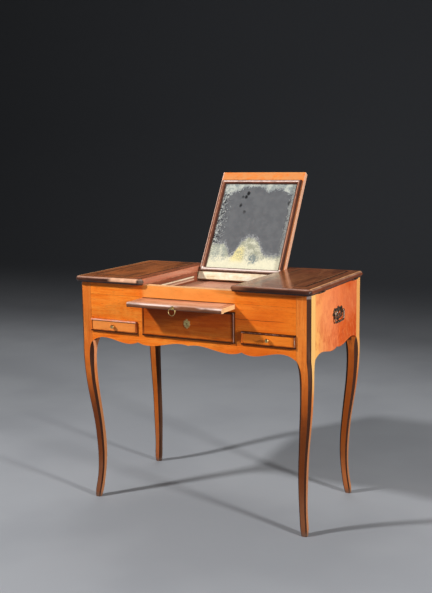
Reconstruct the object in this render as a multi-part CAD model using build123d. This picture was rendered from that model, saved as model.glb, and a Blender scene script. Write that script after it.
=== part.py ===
from build123d import *
import os
from math import acos, atan2, degrees, hypot

# A poudreuse: a dressing table on cabriole legs. Two side lids open outwards over
# deep wells, a mirror panel between them stands up on pivots, and a writing slide
# and three drawers run in the front.
# Millimetres. X is to the right, Y to the back, Z up, and the floor is Z = 0.
# The pieces are drawn about the middle of the case, then moved to the origin, which
# is on the floor under the middle of the whole table as it stands open.

os.makedirs("parts", exist_ok=True)

# ---- Case --------------------------------------------------------------------
case_width = 764.0
case_depth = 428.0
post_size = 41.0
post_chamfer = 10.0
front_board = 22.0
side_board = 18.0
tongue_thickness = 6.0
tongue_length = 10.0
origin_behind_middle = 16.0

# ---- Front openings, from the apron upwards -----------------------------------
apron_top = 550.5
small_opening_height = 39.0
centre_opening_height = 91.0
slide_rail_height = 9.0
slide_thickness = 13.0
slide_lift = 0.4
slide_room = 2.1
top_rail_height = 37.0
centre_opening_width = 309.0
partition_thickness = 19.5

# ---- Shaped lower edges: how far the curve's crests and dips lie below the apron's top
apron_end_drop = 33.5
apron_arch_drop = 18.5
apron_dip_drop = 31.5
apron_cusp_drop = 24.0
apron_middle_drop = 20.0
side_arch_drop = 22.5
side_dip_drop = 34.0
side_cusp_drop = 29.5
side_dip_from_middle = 50.0
side_arch_from_middle = 125.0
# Where the apron's crests and dips stand, as shares of the way along their stretch.
outer_arch_share = 0.68
outer_dip_share = 0.24
inner_dip_share = 0.82
inner_shoulder_share = 0.46

# ---- Cabriole leg: share of its height, then how far in from the case's corner its outer
# ---- and inner sides lie, first along X and then along Y
leg_stations = (
    (0.0, (17.0, 34.0), (19.5, 35.5)),
    (0.100, (21.0, 41.8), (24.6, 45.2)),
    (0.232, (24.2, 47.4), (29.4, 51.2)),
    (0.367, (22.2, 47.8), (27.4, 52.0)),
    (0.493, (17.0, 44.8), (23.2, 47.8)),
    (0.619, (8.8, 40.4), (16.0, 42.4)),
    (0.715, (3.4, 36.8), (9.8, 38.8)),
    (0.831, (-1.0, 34.8), (4.8, 36.8)),
    (0.938, (-2.0, 37.4), (2.2, 37.4)),
)
post_start_drop = 33.5
foot_chamfer = 3.5
chamfer_fade = 1.5
least_chamfer = 0.5

# ---- Inner boards ------------------------------------------------------------
bottom_board_thickness = 8.0
well_floor_thickness = 8.0
well_floor_gap = 2.5
recess_floor_thickness = 5.0
recess_floor_gap = 1.1
recess_back_thickness = 8.0
recess_back_set_in = 14.8
ledge_width = 8.0
ledge_height = 14.0
ledge_below_moulding = 2.3
ledge_groove_width = 5.0
ledge_groove_depth = 4.0
ledge_before_pivot = 52.7
slide_runner_width = 14.0
guide_gap = 0.5

# ---- Lids and the strip behind the mirror --------------------------------------
lid_thickness = 17.0
side_overhang = 10.0
front_overhang = 17.0
back_overhang = 2.0
lid_beside_opening = 0.5
lid_outer_radius = 21.0
lid_inner_radius = 12.0
lid_ear = 10.0
nosing_width = 11.0
nosing_round = 8.3
nosing_cove_height = 6.0
nosing_cove_depth = 3.2
nosing_cove_bow = 0.8
strip_depth = 48.6
strip_side_gap = 0.5

# ---- Lid hinges --------------------------------------------------------------
hinge_out = 6.0
hinge_length = 39.0
hinge_from_post = 33.0
knuckle_radius = 3.0
knuckle_gap = 0.25
knuckle_room = 0.5
hinge_pin_radius = 1.4
hinge_pin_clearance = 0.06
leaf_thickness = 1.9
leaf_gap = 0.1
leaf_reach = 16.0
screw_from_hinge_middle = 11.0
screw_head_radius = 2.8
screw_head_height = 1.3
screw_shank_radius = 1.5
screw_shank_length = 12.0
screw_slot_width = 0.6
screw_slot_depth = 0.5

# ---- Mirror panel, its glass and moulding ---------------------------------------
mirror_side_gap = 3.7
mirror_front_overhang = 4.0
mirror_behind_pivot = 12.3
mirror_rear_bevel = 5.0
mirror_tail_length = 23.0
mirror_tail_thickness = 8.0
mirror_tail_room = 1.0
mirror_seat_gap = 0.3
mirror_rest_gap = 0.22
mirror_swing_gap = 1.18
pivot_above_case = 4.2
pivot_pin_radius = 2.0
pivot_pin_clearance = 0.06
pivot_pin_length = 13.0
side_band = 5.3
top_band = 31.0
bottom_band = 3.5
glass_thickness = 3.0
glass_lap = 5.0
moulding_width = 15.0
moulding_height = 10.0
moulding_lip = 4.5
moulding_crest_start = 5.7
moulding_crest_end = 8.7
moulding_edge = 3.0
moulding_cove_bow = 0.9
moulding_ovolo_bow = 1.7
bracket_side_gap = 0.7
bracket_ear_thickness = 2.0
bracket_ear_radius = 6.5
bracket_length = 34.0
bracket_height = 31.0
bracket_below_case = 1.0

# ---- Writing slide and its pull ------------------------------------------------
slide_out = 86.0
slide_back_room = 28.2
slide_side_gap = 0.7
slide_nosing_depth = 16.0
slide_nosing_lip = 1.5
slide_nosing_round = 5.8
slide_clamp_width = 20.0
rosette_radius = 5.5
rosette_proud = 1.2
rosette_sunk = 2.0
pull_stem_radius = 1.9
pull_eye_out = 5.5
pull_eye_radius = 3.4
pull_eye_width = 4.4
pull_eye_hole = 1.8
ring_radius = 10.5
ring_wire_radius = 1.2

# ---- Drawers -----------------------------------------------------------------
drawer_gap = 0.5
drawer_front_thickness = 18.0
drawer_back_room = 40.0
centre_drawer_out = 7.0
left_drawer_out = 7.0
right_drawer_out = 6.0
centre_wall = 9.0
small_wall = 7.0
centre_wall_below_top = 8.0
small_wall_below_top = 7.0
drawer_bottom_thickness = 5.0
drawer_bottom_lift = 4.0
bead_width = 4.6
bead_height = 2.6
bead_round = 2.1
knob_radius = 6.0
knob_thickness = 8.6
knob_length = 12.5
knob_round = 3.4
knob_neck_radius = 2.3
knob_collar_radius = 4.2
knob_collar_thickness = 1.2
knob_pin_length = 14.0
lock_width = 46.0
lock_height = 34.0
lock_thickness = 9.0
lock_drop = 2.0
keyhole_radius = 1.9
keyhole_slot_width = 1.7
keyhole_slot_drop = 7.5
escutcheon_above_middle = 2.0
escutcheon_thickness = 1.4
# Lobes of the escutcheon: across, up, half width, half height; those off the middle
# stand on both sides.
escutcheon_lobes = (
    (0.0, 0.0, 7.0, 9.5),
    (0.0, 10.0, 4.0, 4.0),
    (0.0, -10.5, 3.4, 4.6),
    (7.0, 5.0, 3.6, 3.6),
    (8.2, -2.0, 2.6, 4.2),
    (5.0, -8.6, 3.0, 3.0),
)

# ---- Bail handles on the sides ---------------------------------------------------
handle_drop = 77.0
handle_behind_middle = 4.0
handle_bolt_spread = 27.0
handle_bolt_radius = 2.8
handle_reach = 6.2
handle_head_radius = 4.6
handle_head_half_length = 4.2
handle_head_round = 1.6
bail_radius = 2.6
bail_clearance = 0.08
bail_drop = 30.0
bail_half_width = 36.0
bail_bend = 9.0
bail_end_bend = 3.5
bail_end_past_head = 1.0
# Beads on the bail's grip: place along it and radius.
bail_beads = ((0.0, 3.8), (-6.5, 3.3), (6.5, 3.3))
plate_thickness = 1.6
plate_below_bolts = 6.0
# Lobes and piercings of the plate, written like the escutcheon's lobes.
plate_lobes = (
    (0.0, 0.0, 30.0, 9.0),
    (0.0, 13.0, 7.0, 9.0),
    (0.0, -13.0, 9.0, 10.0),
    (27.0, 5.0, 12.0, 13.0),
    (39.0, 1.0, 5.0, 5.0),
    (14.0, 12.0, 8.0, 5.0),
    (17.0, -12.0, 9.0, 6.0),
    (32.0, -10.0, 6.0, 5.0),
)
plate_piercings = (
    (0.0, 0.0, 6.0, 4.5),
    (15.0, 1.0, 5.0, 4.0),
    (9.0, -11.0, 3.2, 2.6),
    (25.0, -7.0, 3.6, 2.4),
)

# ---- Worked out from the values above ---------------------------------------------
half_width = case_width / 2
front_face = -case_depth / 2
rear_face = case_depth / 2
front_back = front_face + front_board
rear_front = rear_face - side_board
side_inner_x = half_width - side_board
post_inner_x = half_width - post_size
post_inner_y = rear_face - post_size
centre_half = centre_opening_width / 2
partition_outer = centre_half + partition_thickness

small_opening_top = apron_top + small_opening_height
centre_opening_top = apron_top + centre_opening_height
slot_bottom = centre_opening_top + slide_rail_height
slide_bottom = slot_bottom + slide_lift
slide_top = slide_bottom + slide_thickness
slot_top = slide_top + slide_room
case_top = slot_top + top_rail_height
top_height = case_top + lid_thickness
leg_top = apron_top - post_start_drop

lid_inner_edge = centre_half + lid_beside_opening
rear_edge = rear_face + back_overhang
strip_front = rear_edge - strip_depth
strip_half = lid_inner_edge - strip_side_gap

# The mirror's lower corner swings just clear of the strip, and the panel then leans
# back on the strip's front arris. A tail below the corner lies in a rebate under the
# strip when the mirror is down, and hangs in front of the recess's back when it is up.
pivot_height = case_top + pivot_above_case
back_from_pivot = top_height - pivot_height
corner_swing = hypot(mirror_behind_pivot + mirror_rear_bevel, back_from_pivot)
pivot_y = strip_front - mirror_swing_gap - corner_swing
arris_distance = hypot(strip_front - pivot_y, back_from_pivot)
arris_angle = degrees(atan2(back_from_pivot, strip_front - pivot_y))
mirror_tilt = degrees(acos((back_from_pivot + mirror_rest_gap) / arris_distance)) - arris_angle

mirror_half_width = lid_inner_edge - mirror_side_gap
mirror_face = case_top + mirror_seat_gap
mirror_front = front_face - mirror_front_overhang
mirror_rear = pivot_y + mirror_behind_pivot
mirror_tail_end = mirror_rear + mirror_tail_length
mirror_tail_top = mirror_face + mirror_tail_thickness
bevel_share = mirror_tail_thickness / (top_height - mirror_face)
tail_swing = hypot(mirror_tail_end - pivot_y, mirror_tail_top - pivot_height)
rebate_rear = pivot_y + tail_swing + mirror_tail_room
glass_half_width = mirror_half_width - side_band - moulding_width
glass_front = mirror_front + top_band + moulding_width
glass_rear = mirror_rear - bottom_band - moulding_width
ear_inner = mirror_half_width + bracket_side_gap
ear_outer = ear_inner + bracket_ear_thickness
bracket_top = case_top - bracket_below_case

recess_floor_bottom = slide_top + recess_floor_gap
recess_floor_top = recess_floor_bottom + recess_floor_thickness
recess_back_front = strip_front + recess_back_set_in
ledge_top = mirror_face - moulding_height - ledge_below_moulding

hinge_x = half_width + hinge_out
hinge_leaf_inner = half_width - leaf_reach
hinge_tab_start = hinge_x - knuckle_radius - knuckle_room
hinge_from_middle = post_inner_y - hinge_from_post
case_leaf_top = case_top - leaf_gap
lid_leaf_bottom = case_top + leaf_gap

slide_half = centre_half - slide_side_gap
slide_front = front_face - slide_out
slide_board_front = slide_front + slide_nosing_depth
slide_length = recess_back_front - slide_back_room - front_face
slide_nosing_bottom = slide_bottom - slide_nosing_lip
pull_height = (slide_nosing_bottom + slide_top) / 2
pull_eye_y = slide_front - pull_eye_out

drawer_depth = rear_front - drawer_back_room - front_face
centre_drawer_face = front_face - centre_drawer_out
left_drawer_face = front_face - left_drawer_out
right_drawer_face = front_face - right_drawer_out
escutcheon_height = (apron_top + centre_opening_top) / 2 + escutcheon_above_middle
knob_x = (partition_outer + post_inner_x) / 2
knob_height = (apron_top + small_opening_top) / 2

handle_height = case_top - handle_drop
bolt_head_x = half_width + handle_reach


# ---- Helpers -------------------------------------------------------------------------
def slab(x_from, x_to, y_from, y_to, z_from, z_to):
    """A plain board between three pairs of faces."""
    middle = ((x_from + x_to) / 2, (y_from + y_to) / 2, (z_from + z_to) / 2)
    return Pos(*middle) * Box(x_to - x_from, y_to - y_from, z_to - z_from)


def rod(start, direction, radius, length):
    """A round rod from a point along a direction."""
    return extrude(Plane(start, z_dir=direction) * Circle(radius), length)


def lobed(lobes):
    """A flat shape of joined ellipses, those off the middle on both sides."""
    shape = Sketch()
    for across, up, half_across, half_up in lobes:
        for side in {-1, 1} if across else {1}:
            shape += Pos(side * across, up) * Ellipse(half_across, half_up)
    return shape


def mirrored(shape):
    """The same piece on the other side of the table."""
    return mirror(shape, about=Plane.YZ)


def both_sides(shapes):
    """A list of pieces and their mirror images."""
    return shapes + [mirrored(shape) for shape in shapes]


def save(name, *shapes):
    """Write one node, moved from the middle of the case to the origin."""
    solids = [solid for shape in shapes for solid in shape.solids()]
    whole = solids[0] if len(solids) == 1 else Compound(solids)
    export_step(Pos(0, -origin_behind_middle, 0) * whole, f"parts/{name}.step")


# ---- Legs ----------------------------------------------------------------------------
def chamfered_block(height, across, deep, outer_chamfer, other_chamfer):
    """A leg's section, with the case corner at 0, 0 and the leg towards +X +Y."""
    outer_x, inner_x = across
    outer_y, inner_y = deep
    points = (
        (outer_x + outer_chamfer, outer_y),
        (inner_x - other_chamfer, outer_y),
        (inner_x, outer_y + other_chamfer),
        (inner_x, inner_y - other_chamfer),
        (inner_x - other_chamfer, inner_y),
        (outer_x + other_chamfer, inner_y),
        (outer_x, inner_y - other_chamfer),
        (outer_x, outer_y + outer_chamfer),
    )
    return Pos(0, 0, height) * make_face(Polyline(*points, close=True))


def cabriole_leg():
    """Post and curved leg in one piece, with the case corner at 0, 0."""
    sections = []
    for share, across, deep in leg_stations:
        chamfer = foot_chamfer + (post_chamfer - foot_chamfer) * share**chamfer_fade
        section = chamfered_block(share * leg_top, across, deep, chamfer, chamfer)
        sections.append(section)
    post_width = (0, post_size)
    post_section = chamfered_block(leg_top, post_width, post_width, post_chamfer, least_chamfer)
    sections.append(post_section)
    return loft(sections) + extrude(post_section, case_top - leg_top)


def placed_leg(side, end):
    """The leg at one corner: side is -1 for left, end is -1 for front."""
    leg = cabriole_leg()
    if side > 0:
        leg = mirror(leg, about=Plane.YZ)
    if end > 0:
        leg = mirror(leg, about=Plane.XZ)
    return Pos(side * half_width, end * rear_face, 0) * leg


# ---- Boards between the posts -----------------------------------------------------------
def end_tongue(y_middle, z_from, z_to):
    """The tongue on the right end of a board that runs from post to post in X."""
    half = tongue_thickness / 2
    return slab(
        post_inner_x, post_inner_x + tongue_length, y_middle - half, y_middle + half, z_from, z_to
    )


def apron_curve():
    """The right half of the front's lower edge, from the post to the middle, in X and Z."""
    span = post_inner_x - partition_outer
    end = (post_inner_x, apron_top - apron_end_drop)
    arch = (partition_outer + outer_arch_share * span, apron_top - apron_arch_drop)
    outer_dip = (partition_outer + outer_dip_share * span, apron_top - apron_dip_drop)
    cusp = (partition_outer, apron_top - apron_cusp_drop)
    inner_dip = (inner_dip_share * partition_outer, apron_top - apron_dip_drop)
    shoulder = (inner_shoulder_share * partition_outer, apron_top - apron_cusp_drop)
    middle = (0, apron_top - apron_middle_drop)
    return [Spline(end, arch, outer_dip, cusp), Spline(cusp, inner_dip, shoulder, middle)]


def side_curve():
    """The right half of a side's lower edge, drawn in Y and Z."""
    return [
        Spline(
            (post_inner_y, apron_top - apron_end_drop),
            (side_arch_from_middle, apron_top - side_arch_drop),
            (side_dip_from_middle, apron_top - side_dip_drop),
            (0, apron_top - side_cusp_drop),
        )
    ]


def shaped_outline(half_length, curve, top):
    """A board's outline: the curve and its mirror image below, straight edges above."""
    lower_edge = both_sides(curve)
    end_height = apron_top - apron_end_drop
    upper_edge = Polyline(
        (half_length, end_height), (half_length, top), (-half_length, top), (-half_length, end_height)
    )
    return make_face(lower_edge + upper_edge.edges())


def shaped_board(y_from, y_to, top):
    """A front or back board with the curved lower edge."""
    upright = Plane((0, y_to, 0), x_dir=(1, 0, 0), z_dir=(0, -1, 0))
    return extrude(upright * shaped_outline(post_inner_x, apron_curve(), top), y_to - y_from)


front_tongue_y = front_face + front_board / 2
rear_tongue_y = rear_face - side_board / 2
side_tongue_x = half_width - side_board / 2
tongue_half = tongue_thickness / 2
tongue_top = case_top - tongue_length
tongue_bottom = apron_top - apron_arch_drop

top_rail = slab(-post_inner_x, post_inner_x, front_face, front_back, slot_top, case_top)
top_rail += both_sides([end_tongue(front_tongue_y, slot_top, tongue_top)])

right_flank = slab(centre_half, post_inner_x, front_face, front_back, small_opening_top, slot_top)
right_flank += end_tongue(front_tongue_y, small_opening_top + tongue_thickness, slot_top)

apron = shaped_board(front_face, front_back, apron_top)
apron += both_sides([end_tongue(front_tongue_y, tongue_bottom, apron_top)])

slide_rail = slab(
    -centre_half, centre_half, front_face, front_back, centre_opening_top, slot_bottom
)

back_panel = shaped_board(rear_front, rear_face, case_top)
back_panel += both_sides([end_tongue(rear_tongue_y, tongue_bottom, tongue_top)])

side_plane = Plane((side_inner_x, 0, 0), x_dir=(0, 1, 0), z_dir=(1, 0, 0))
right_side = extrude(side_plane * shaped_outline(post_inner_y, side_curve(), case_top), side_board)
right_side += slab(
    side_tongue_x - tongue_half,
    side_tongue_x + tongue_half,
    -post_inner_y - tongue_length,
    post_inner_y + tongue_length,
    tongue_bottom,
    tongue_top,
)

# ---- Partitions, floors and runners ---------------------------------------------------
right_partition = slab(centre_half, partition_outer, front_back, rear_front, apron_top, case_top)
right_partition += slab(
    centre_half, partition_outer, front_face, front_back, apron_top, small_opening_top
)

posts = [
    Pos(side * half_width, end * rear_face, case_top / 2)
    * Box(2 * post_size, 2 * post_size, case_top)
    for side in (-1, 1)
    for end in (-1, 1)
]

bottom_board = slab(
    -side_inner_x,
    side_inner_x,
    front_back,
    rear_front,
    apron_top - bottom_board_thickness,
    apron_top,
)
bottom_board -= posts

well_floor_bottom = small_opening_top + well_floor_gap
right_well_floor = slab(
    partition_outer,
    side_inner_x,
    front_back,
    rear_front,
    well_floor_bottom,
    well_floor_bottom + well_floor_thickness,
)
right_well_floor -= posts

recess_floor = slab(
    -centre_half, centre_half, front_back, rear_front, recess_floor_bottom, recess_floor_top
)
recess_back = slab(
    -centre_half,
    centre_half,
    recess_back_front,
    recess_back_front + recess_back_thickness,
    recess_floor_top,
    case_top,
)

ledge_inner = centre_half - ledge_width
ledge_rear = pivot_y - ledge_before_pivot
groove_margin = (ledge_height - ledge_groove_width) / 2
right_ledge = slab(
    ledge_inner, centre_half, front_back, ledge_rear, ledge_top - ledge_height, ledge_top
)
right_ledge -= slab(
    ledge_inner,
    ledge_inner + ledge_groove_depth,
    front_back,
    ledge_rear,
    ledge_top - ledge_height + groove_margin,
    ledge_top - groove_margin,
)

right_slide_runner = slab(
    centre_half - slide_runner_width,
    centre_half,
    front_back,
    recess_back_front,
    centre_opening_top,
    slot_bottom,
)
right_drawer_guide = slab(
    post_inner_x + guide_gap,
    side_inner_x,
    -post_inner_y,
    post_inner_y,
    apron_top,
    small_opening_top,
)


# ---- Top: lids with their nosing, and the strip behind the mirror -----------------------
def nosing_plane(start, outward):
    """The plane of a nosing's section, with its own x facing out of the lid's edge."""
    return Plane(start, x_dir=outward, z_dir=Vector(outward).cross(Vector(0, 0, 1)))


def nosing_section():
    """The nosing's section: rounded above, hollowed below."""
    straight = Polyline(
        (0, nosing_cove_height),
        (0, lid_thickness),
        (-nosing_width, lid_thickness),
        (-nosing_width, 0),
        (-nosing_cove_depth, 0),
    )
    cove = SagittaArc((-nosing_cove_depth, 0), (0, nosing_cove_height), nosing_cove_bow)
    section = make_face(straight.edges() + [cove])
    upper_corner = section.vertices().group_by(Axis.Y)[-1].sort_by(Axis.X)[-1]
    return fillet(upper_corner, nosing_round)


def lid_edge_path():
    """The right lid's moulded edge: inner front corner, front, side and back.

    It starts as an ear that reaches past the lid's inner edge, in front of the mirror.
    """
    right = half_width + side_overhang
    front = front_face - front_overhang
    inner = lid_inner_edge
    ear = lid_inner_edge - lid_ear
    small = lid_inner_radius
    large = lid_outer_radius
    return Wire(
        [
            CenterArc((ear + small, front + small, case_top), small, 180, 90),
            Line((ear + small, front, case_top), (right - large, front, case_top)),
            CenterArc((right - large, front + large, case_top), large, 270, 90),
            Line((right, front + large, case_top), (right, rear_edge - large, case_top)),
            CenterArc((right - large, rear_edge - large, case_top), large, 0, 90),
            Line((right - large, rear_edge, case_top), (inner, rear_edge, case_top)),
        ]
    )


lid_path = lid_edge_path()
path_plane = nosing_plane(lid_path @ 0, (-1, 0, 0))
right_nosing = sweep(path_plane * nosing_section(), path=lid_path)
band_section = Pos(-nosing_width / 2, lid_thickness / 2) * Rectangle(nosing_width, lid_thickness)
edge_band = sweep(path_plane * band_section, path=lid_path)
ear_start = lid_path @ 0
inner_corner = (lid_inner_edge, ear_start.Y, case_top)
inner_edges = [Line(lid_path @ 1, inner_corner), Line(inner_corner, ear_start)]
lid_outline = make_face(lid_path.edges() + inner_edges)
right_lid = extrude(lid_outline, lid_thickness) - edge_band

strip_nosing_plane = nosing_plane((-strip_half, rear_edge, case_top), (0, 1, 0))
rear_strip = extrude(strip_nosing_plane * nosing_section(), 2 * strip_half)
rear_strip += slab(
    -strip_half, strip_half, strip_front, rear_edge - nosing_width, case_top, top_height
)
rear_strip -= slab(
    -strip_half,
    strip_half,
    strip_front,
    rebate_rear,
    case_top,
    mirror_tail_top + mirror_tail_room,
)


# ---- Lid hinges ---------------------------------------------------------------------
def wood_screw():
    """A countersunk screw with a slotted head: its head's top is at 0, its point is down."""
    head = Pos(0, 0, -screw_head_height / 2) * Cone(
        screw_shank_radius, screw_head_radius, screw_head_height
    )
    shank = rod((0, 0, -screw_head_height), (0, 0, -1), screw_shank_radius, screw_shank_length)
    slot = Box(2 * screw_head_radius, screw_slot_width, 2 * screw_slot_depth)
    return head + shank - slot


def hinge_barrel(y_from, y_to, radius):
    """A round stretch on the hinge's axis."""
    return rod((hinge_x, y_from, case_top), (0, 1, 0), radius, y_to - y_from)


def hinge_leaf(y_middle, z_bottom, knuckle_spans):
    """A leaf with a knuckle over each of the given spans from the hinge's middle."""
    y_from = y_middle - hinge_length / 2
    y_to = y_middle + hinge_length / 2
    z_top = z_bottom + leaf_thickness
    leaf = slab(hinge_leaf_inner, hinge_tab_start, y_from, y_to, z_bottom, z_top)
    for span_from, span_to in knuckle_spans:
        tab_from = y_middle + span_from
        tab_to = y_middle + span_to
        leaf += slab(hinge_tab_start, hinge_x, tab_from, tab_to, z_bottom, z_top)
        leaf += hinge_barrel(tab_from, tab_to, knuckle_radius)
    return leaf - hinge_barrel(y_from, y_to, hinge_pin_radius + hinge_pin_clearance)


middle_knuckle = hinge_length / 6 - knuckle_gap
outer_knuckle = hinge_length / 6 + knuckle_gap
lid_spans = [(-middle_knuckle, middle_knuckle)]
case_spans = [(-hinge_length / 2, -outer_knuckle), (outer_knuckle, hinge_length / 2)]
hinge_places = (-hinge_from_middle, hinge_from_middle)
screw_x = half_width - leaf_reach / 2
screw_places = [
    (screw_x, place + step)
    for place in hinge_places
    for step in (-screw_from_hinge_middle, screw_from_hinge_middle)
]
case_hinge_screws = [Pos(x, y, case_leaf_top) * wood_screw() for x, y in screw_places]
lid_hinge_screws = [
    Pos(x, y, lid_leaf_bottom) * Rot(180, 0, 0) * wood_screw() for x, y in screw_places
]
case_leaves = [hinge_leaf(y, case_leaf_top - leaf_thickness, case_spans) for y in hinge_places]
lid_leaves = [hinge_leaf(y, lid_leaf_bottom, lid_spans) for y in hinge_places]
hinge_pins = [
    hinge_barrel(y - hinge_length / 2, y + hinge_length / 2, hinge_pin_radius)
    for y in hinge_places
]

for y in hinge_places:
    y_from = y - hinge_length / 2
    y_to = y + hinge_length / 2
    right_side -= slab(
        hinge_leaf_inner, half_width, y_from, y_to, case_leaf_top - leaf_thickness, case_top
    )
    hinge_seat = [
        slab(hinge_leaf_inner, hinge_x, y_from, y_to, case_top, lid_leaf_bottom + leaf_thickness),
        hinge_barrel(y_from - knuckle_room, y_to + knuckle_room, knuckle_radius + knuckle_room),
    ]
    right_lid -= hinge_seat
    right_nosing -= hinge_seat

right_side -= case_hinge_screws
right_lid -= lid_hinge_screws
case_leaves = [leaf - case_hinge_screws for leaf in case_leaves]
lid_leaves = [leaf - lid_hinge_screws for leaf in lid_leaves]


# ---- Mirror panel, drawn lying closed and then stood up ---------------------------------
def stood_up(shape):
    """Turn a piece of the closed mirror panel about its pivots until it leans back."""
    return shape.rotate(Axis((0, pivot_y, pivot_height), (1, 0, 0)), -(90 + mirror_tilt))


panel_section = make_face(
    Polyline(
        (mirror_front, mirror_face),
        (mirror_tail_end, mirror_face),
        (mirror_tail_end, mirror_tail_top),
        (mirror_rear + bevel_share * mirror_rear_bevel, mirror_tail_top),
        (mirror_rear + mirror_rear_bevel, top_height),
        (mirror_front, top_height),
        close=True,
    )
)
panel_plane = Plane((-mirror_half_width, 0, 0), x_dir=(0, 1, 0), z_dir=(1, 0, 0))
mirror_panel = extrude(panel_plane * panel_section, 2 * mirror_half_width)
glass = slab(
    -glass_half_width - glass_lap,
    glass_half_width + glass_lap,
    glass_front - glass_lap,
    glass_rear + glass_lap,
    mirror_face,
    mirror_face + glass_thickness,
)
right_pin = rod(
    (ear_outer - pivot_pin_length, pivot_y, pivot_height),
    (1, 0, 0),
    pivot_pin_radius,
    pivot_pin_length,
)
pivot_pins = both_sides([right_pin])
mirror_panel = mirror_panel - glass - pivot_pins


def moulding_section():
    """The glass moulding's section: a cove, a flat crest and an ovolo."""
    cove_end = (moulding_crest_start, moulding_height)
    ovolo_start = (moulding_crest_end, moulding_height)
    outer_edge = (moulding_width, moulding_edge)
    edges = [
        Line((0, 0), (0, moulding_lip)),
        SagittaArc((0, moulding_lip), cove_end, -moulding_cove_bow),
        Line(cove_end, ovolo_start),
        SagittaArc(ovolo_start, outer_edge, moulding_ovolo_bow),
        Line(outer_edge, (moulding_width, 0)),
        Line((moulding_width, 0), (0, 0)),
    ]
    return make_face(edges)


def moulding_rail(inner_from, inner_to, outward):
    """One length of the glass moulding, mitred at both ends; it hangs from the closed panel."""
    inner_from = Vector(*inner_from, mirror_face)
    inner_to = Vector(*inner_to, mirror_face)
    along = (inner_to - inner_from).normalized() * moulding_width
    step = Vector(outward) * moulding_width
    outer_from = inner_from + step - along
    outer_to = inner_to + step + along
    section_plane = Plane(inner_from - along, x_dir=outward, z_dir=along)
    bar = extrude(section_plane * moulding_section(), (outer_to - outer_from).length)
    mitred_outline = make_face(Polyline(inner_from, inner_to, outer_to, outer_from, close=True))
    return bar & extrude(mitred_outline, moulding_height, dir=(0, 0, -1))


front_right = (glass_half_width, glass_front)
rear_right = (glass_half_width, glass_rear)
rear_left = (-glass_half_width, glass_rear)
front_left = (-glass_half_width, glass_front)
mouldings = [
    moulding_rail(front_right, rear_right, (1, 0, 0)),
    moulding_rail(rear_left, front_left, (-1, 0, 0)),
    moulding_rail(front_left, front_right, (0, -1, 0)),
    moulding_rail(rear_right, rear_left, (0, 1, 0)),
]

right_bracket = slab(
    ear_inner,
    centre_half,
    pivot_y - bracket_length / 2,
    pivot_y + bracket_length / 2,
    bracket_top - bracket_height,
    bracket_top,
)
right_bracket += slab(
    ear_inner,
    ear_outer,
    pivot_y - bracket_ear_radius,
    pivot_y + bracket_ear_radius,
    bracket_top,
    pivot_height,
)
ear_middle = (ear_inner, pivot_y, pivot_height)
right_bracket += rod(ear_middle, (1, 0, 0), bracket_ear_radius, bracket_ear_thickness)
right_bracket -= rod(
    ear_middle, (1, 0, 0), pivot_pin_radius + pivot_pin_clearance, bracket_ear_thickness
)
bracket_screws = [
    Pos(ear_inner, pivot_y + step, bracket_top - bracket_height / 2)
    * Rot(0, -90, 0)
    * wood_screw()
    for step in (-screw_from_hinge_middle, screw_from_hinge_middle)
]
right_bracket -= bracket_screws
right_partition -= bracket_screws

# ---- Writing slide and its pull --------------------------------------------------------
slide_rear = slide_board_front + slide_length
clamp_inner = slide_half - slide_clamp_width
slide_board = slab(
    -clamp_inner, clamp_inner, slide_board_front, slide_rear, slide_bottom, slide_top
)
right_clamp = slab(clamp_inner, slide_half, slide_board_front, slide_rear, slide_bottom, slide_top)
slide_nosing = slab(
    -slide_half - slide_nosing_lip,
    slide_half + slide_nosing_lip,
    slide_front,
    slide_board_front,
    slide_nosing_bottom,
    slide_top,
)
slide_nosing = fillet(
    slide_nosing.edges().filter_by(Axis.X).group_by(Axis.Y)[0], slide_nosing_round
)

rosette = rod(
    (0, slide_front + rosette_sunk, pull_height),
    (0, -1, 0),
    rosette_radius,
    rosette_sunk + rosette_proud,
)
slide_nosing -= rosette
stem = rod((0, slide_front, pull_height), (0, -1, 0), pull_stem_radius, pull_eye_out)
eye_start = (-pull_eye_width / 2, pull_eye_y, pull_height)
eye = rod(eye_start, (1, 0, 0), pull_eye_radius, pull_eye_width)
eye_hole = rod(eye_start, (1, 0, 0), pull_eye_hole, pull_eye_width)
pull_boss = rosette + stem + eye - eye_hole
pull_ring = Pos(0, pull_eye_y, pull_height - ring_radius) * Rot(90, 0, 0) * Torus(
    ring_radius, ring_wire_radius
)


# ---- Drawers -------------------------------------------------------------------------
def drawer_front(x_from, x_to, face, z_from, z_to):
    """A drawer front with a rounded bead standing up around its edge."""
    board = slab(x_from, x_to, face, face + drawer_front_thickness, z_from, z_to)
    board -= slab(
        x_from + bead_width,
        x_to - bead_width,
        face,
        face + bead_height,
        z_from + bead_width,
        z_to - bead_width,
    )
    return fillet(board.faces().sort_by(Axis.Y)[0].edges(), bead_round)


def drawer_walls(x_from, x_to, face, z_from, z_to, wall):
    """Two sides, and a back between them that stands on the bottom."""
    front = face + drawer_front_thickness
    rear = face + drawer_depth
    back_from = z_from + drawer_bottom_lift + drawer_bottom_thickness
    return [
        slab(x_from, x_from + wall, front, rear, z_from, z_to),
        slab(x_to - wall, x_to, front, rear, z_from, z_to),
        slab(x_from + wall, x_to - wall, rear - wall, rear, back_from, z_to),
    ]


def drawer_bottom(x_from, x_to, face, z_from, wall):
    """The bottom between the two sides."""
    bottom_from = z_from + drawer_bottom_lift
    return slab(
        x_from + wall,
        x_to - wall,
        face + drawer_front_thickness,
        face + drawer_depth,
        bottom_from,
        bottom_from + drawer_bottom_thickness,
    )


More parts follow.
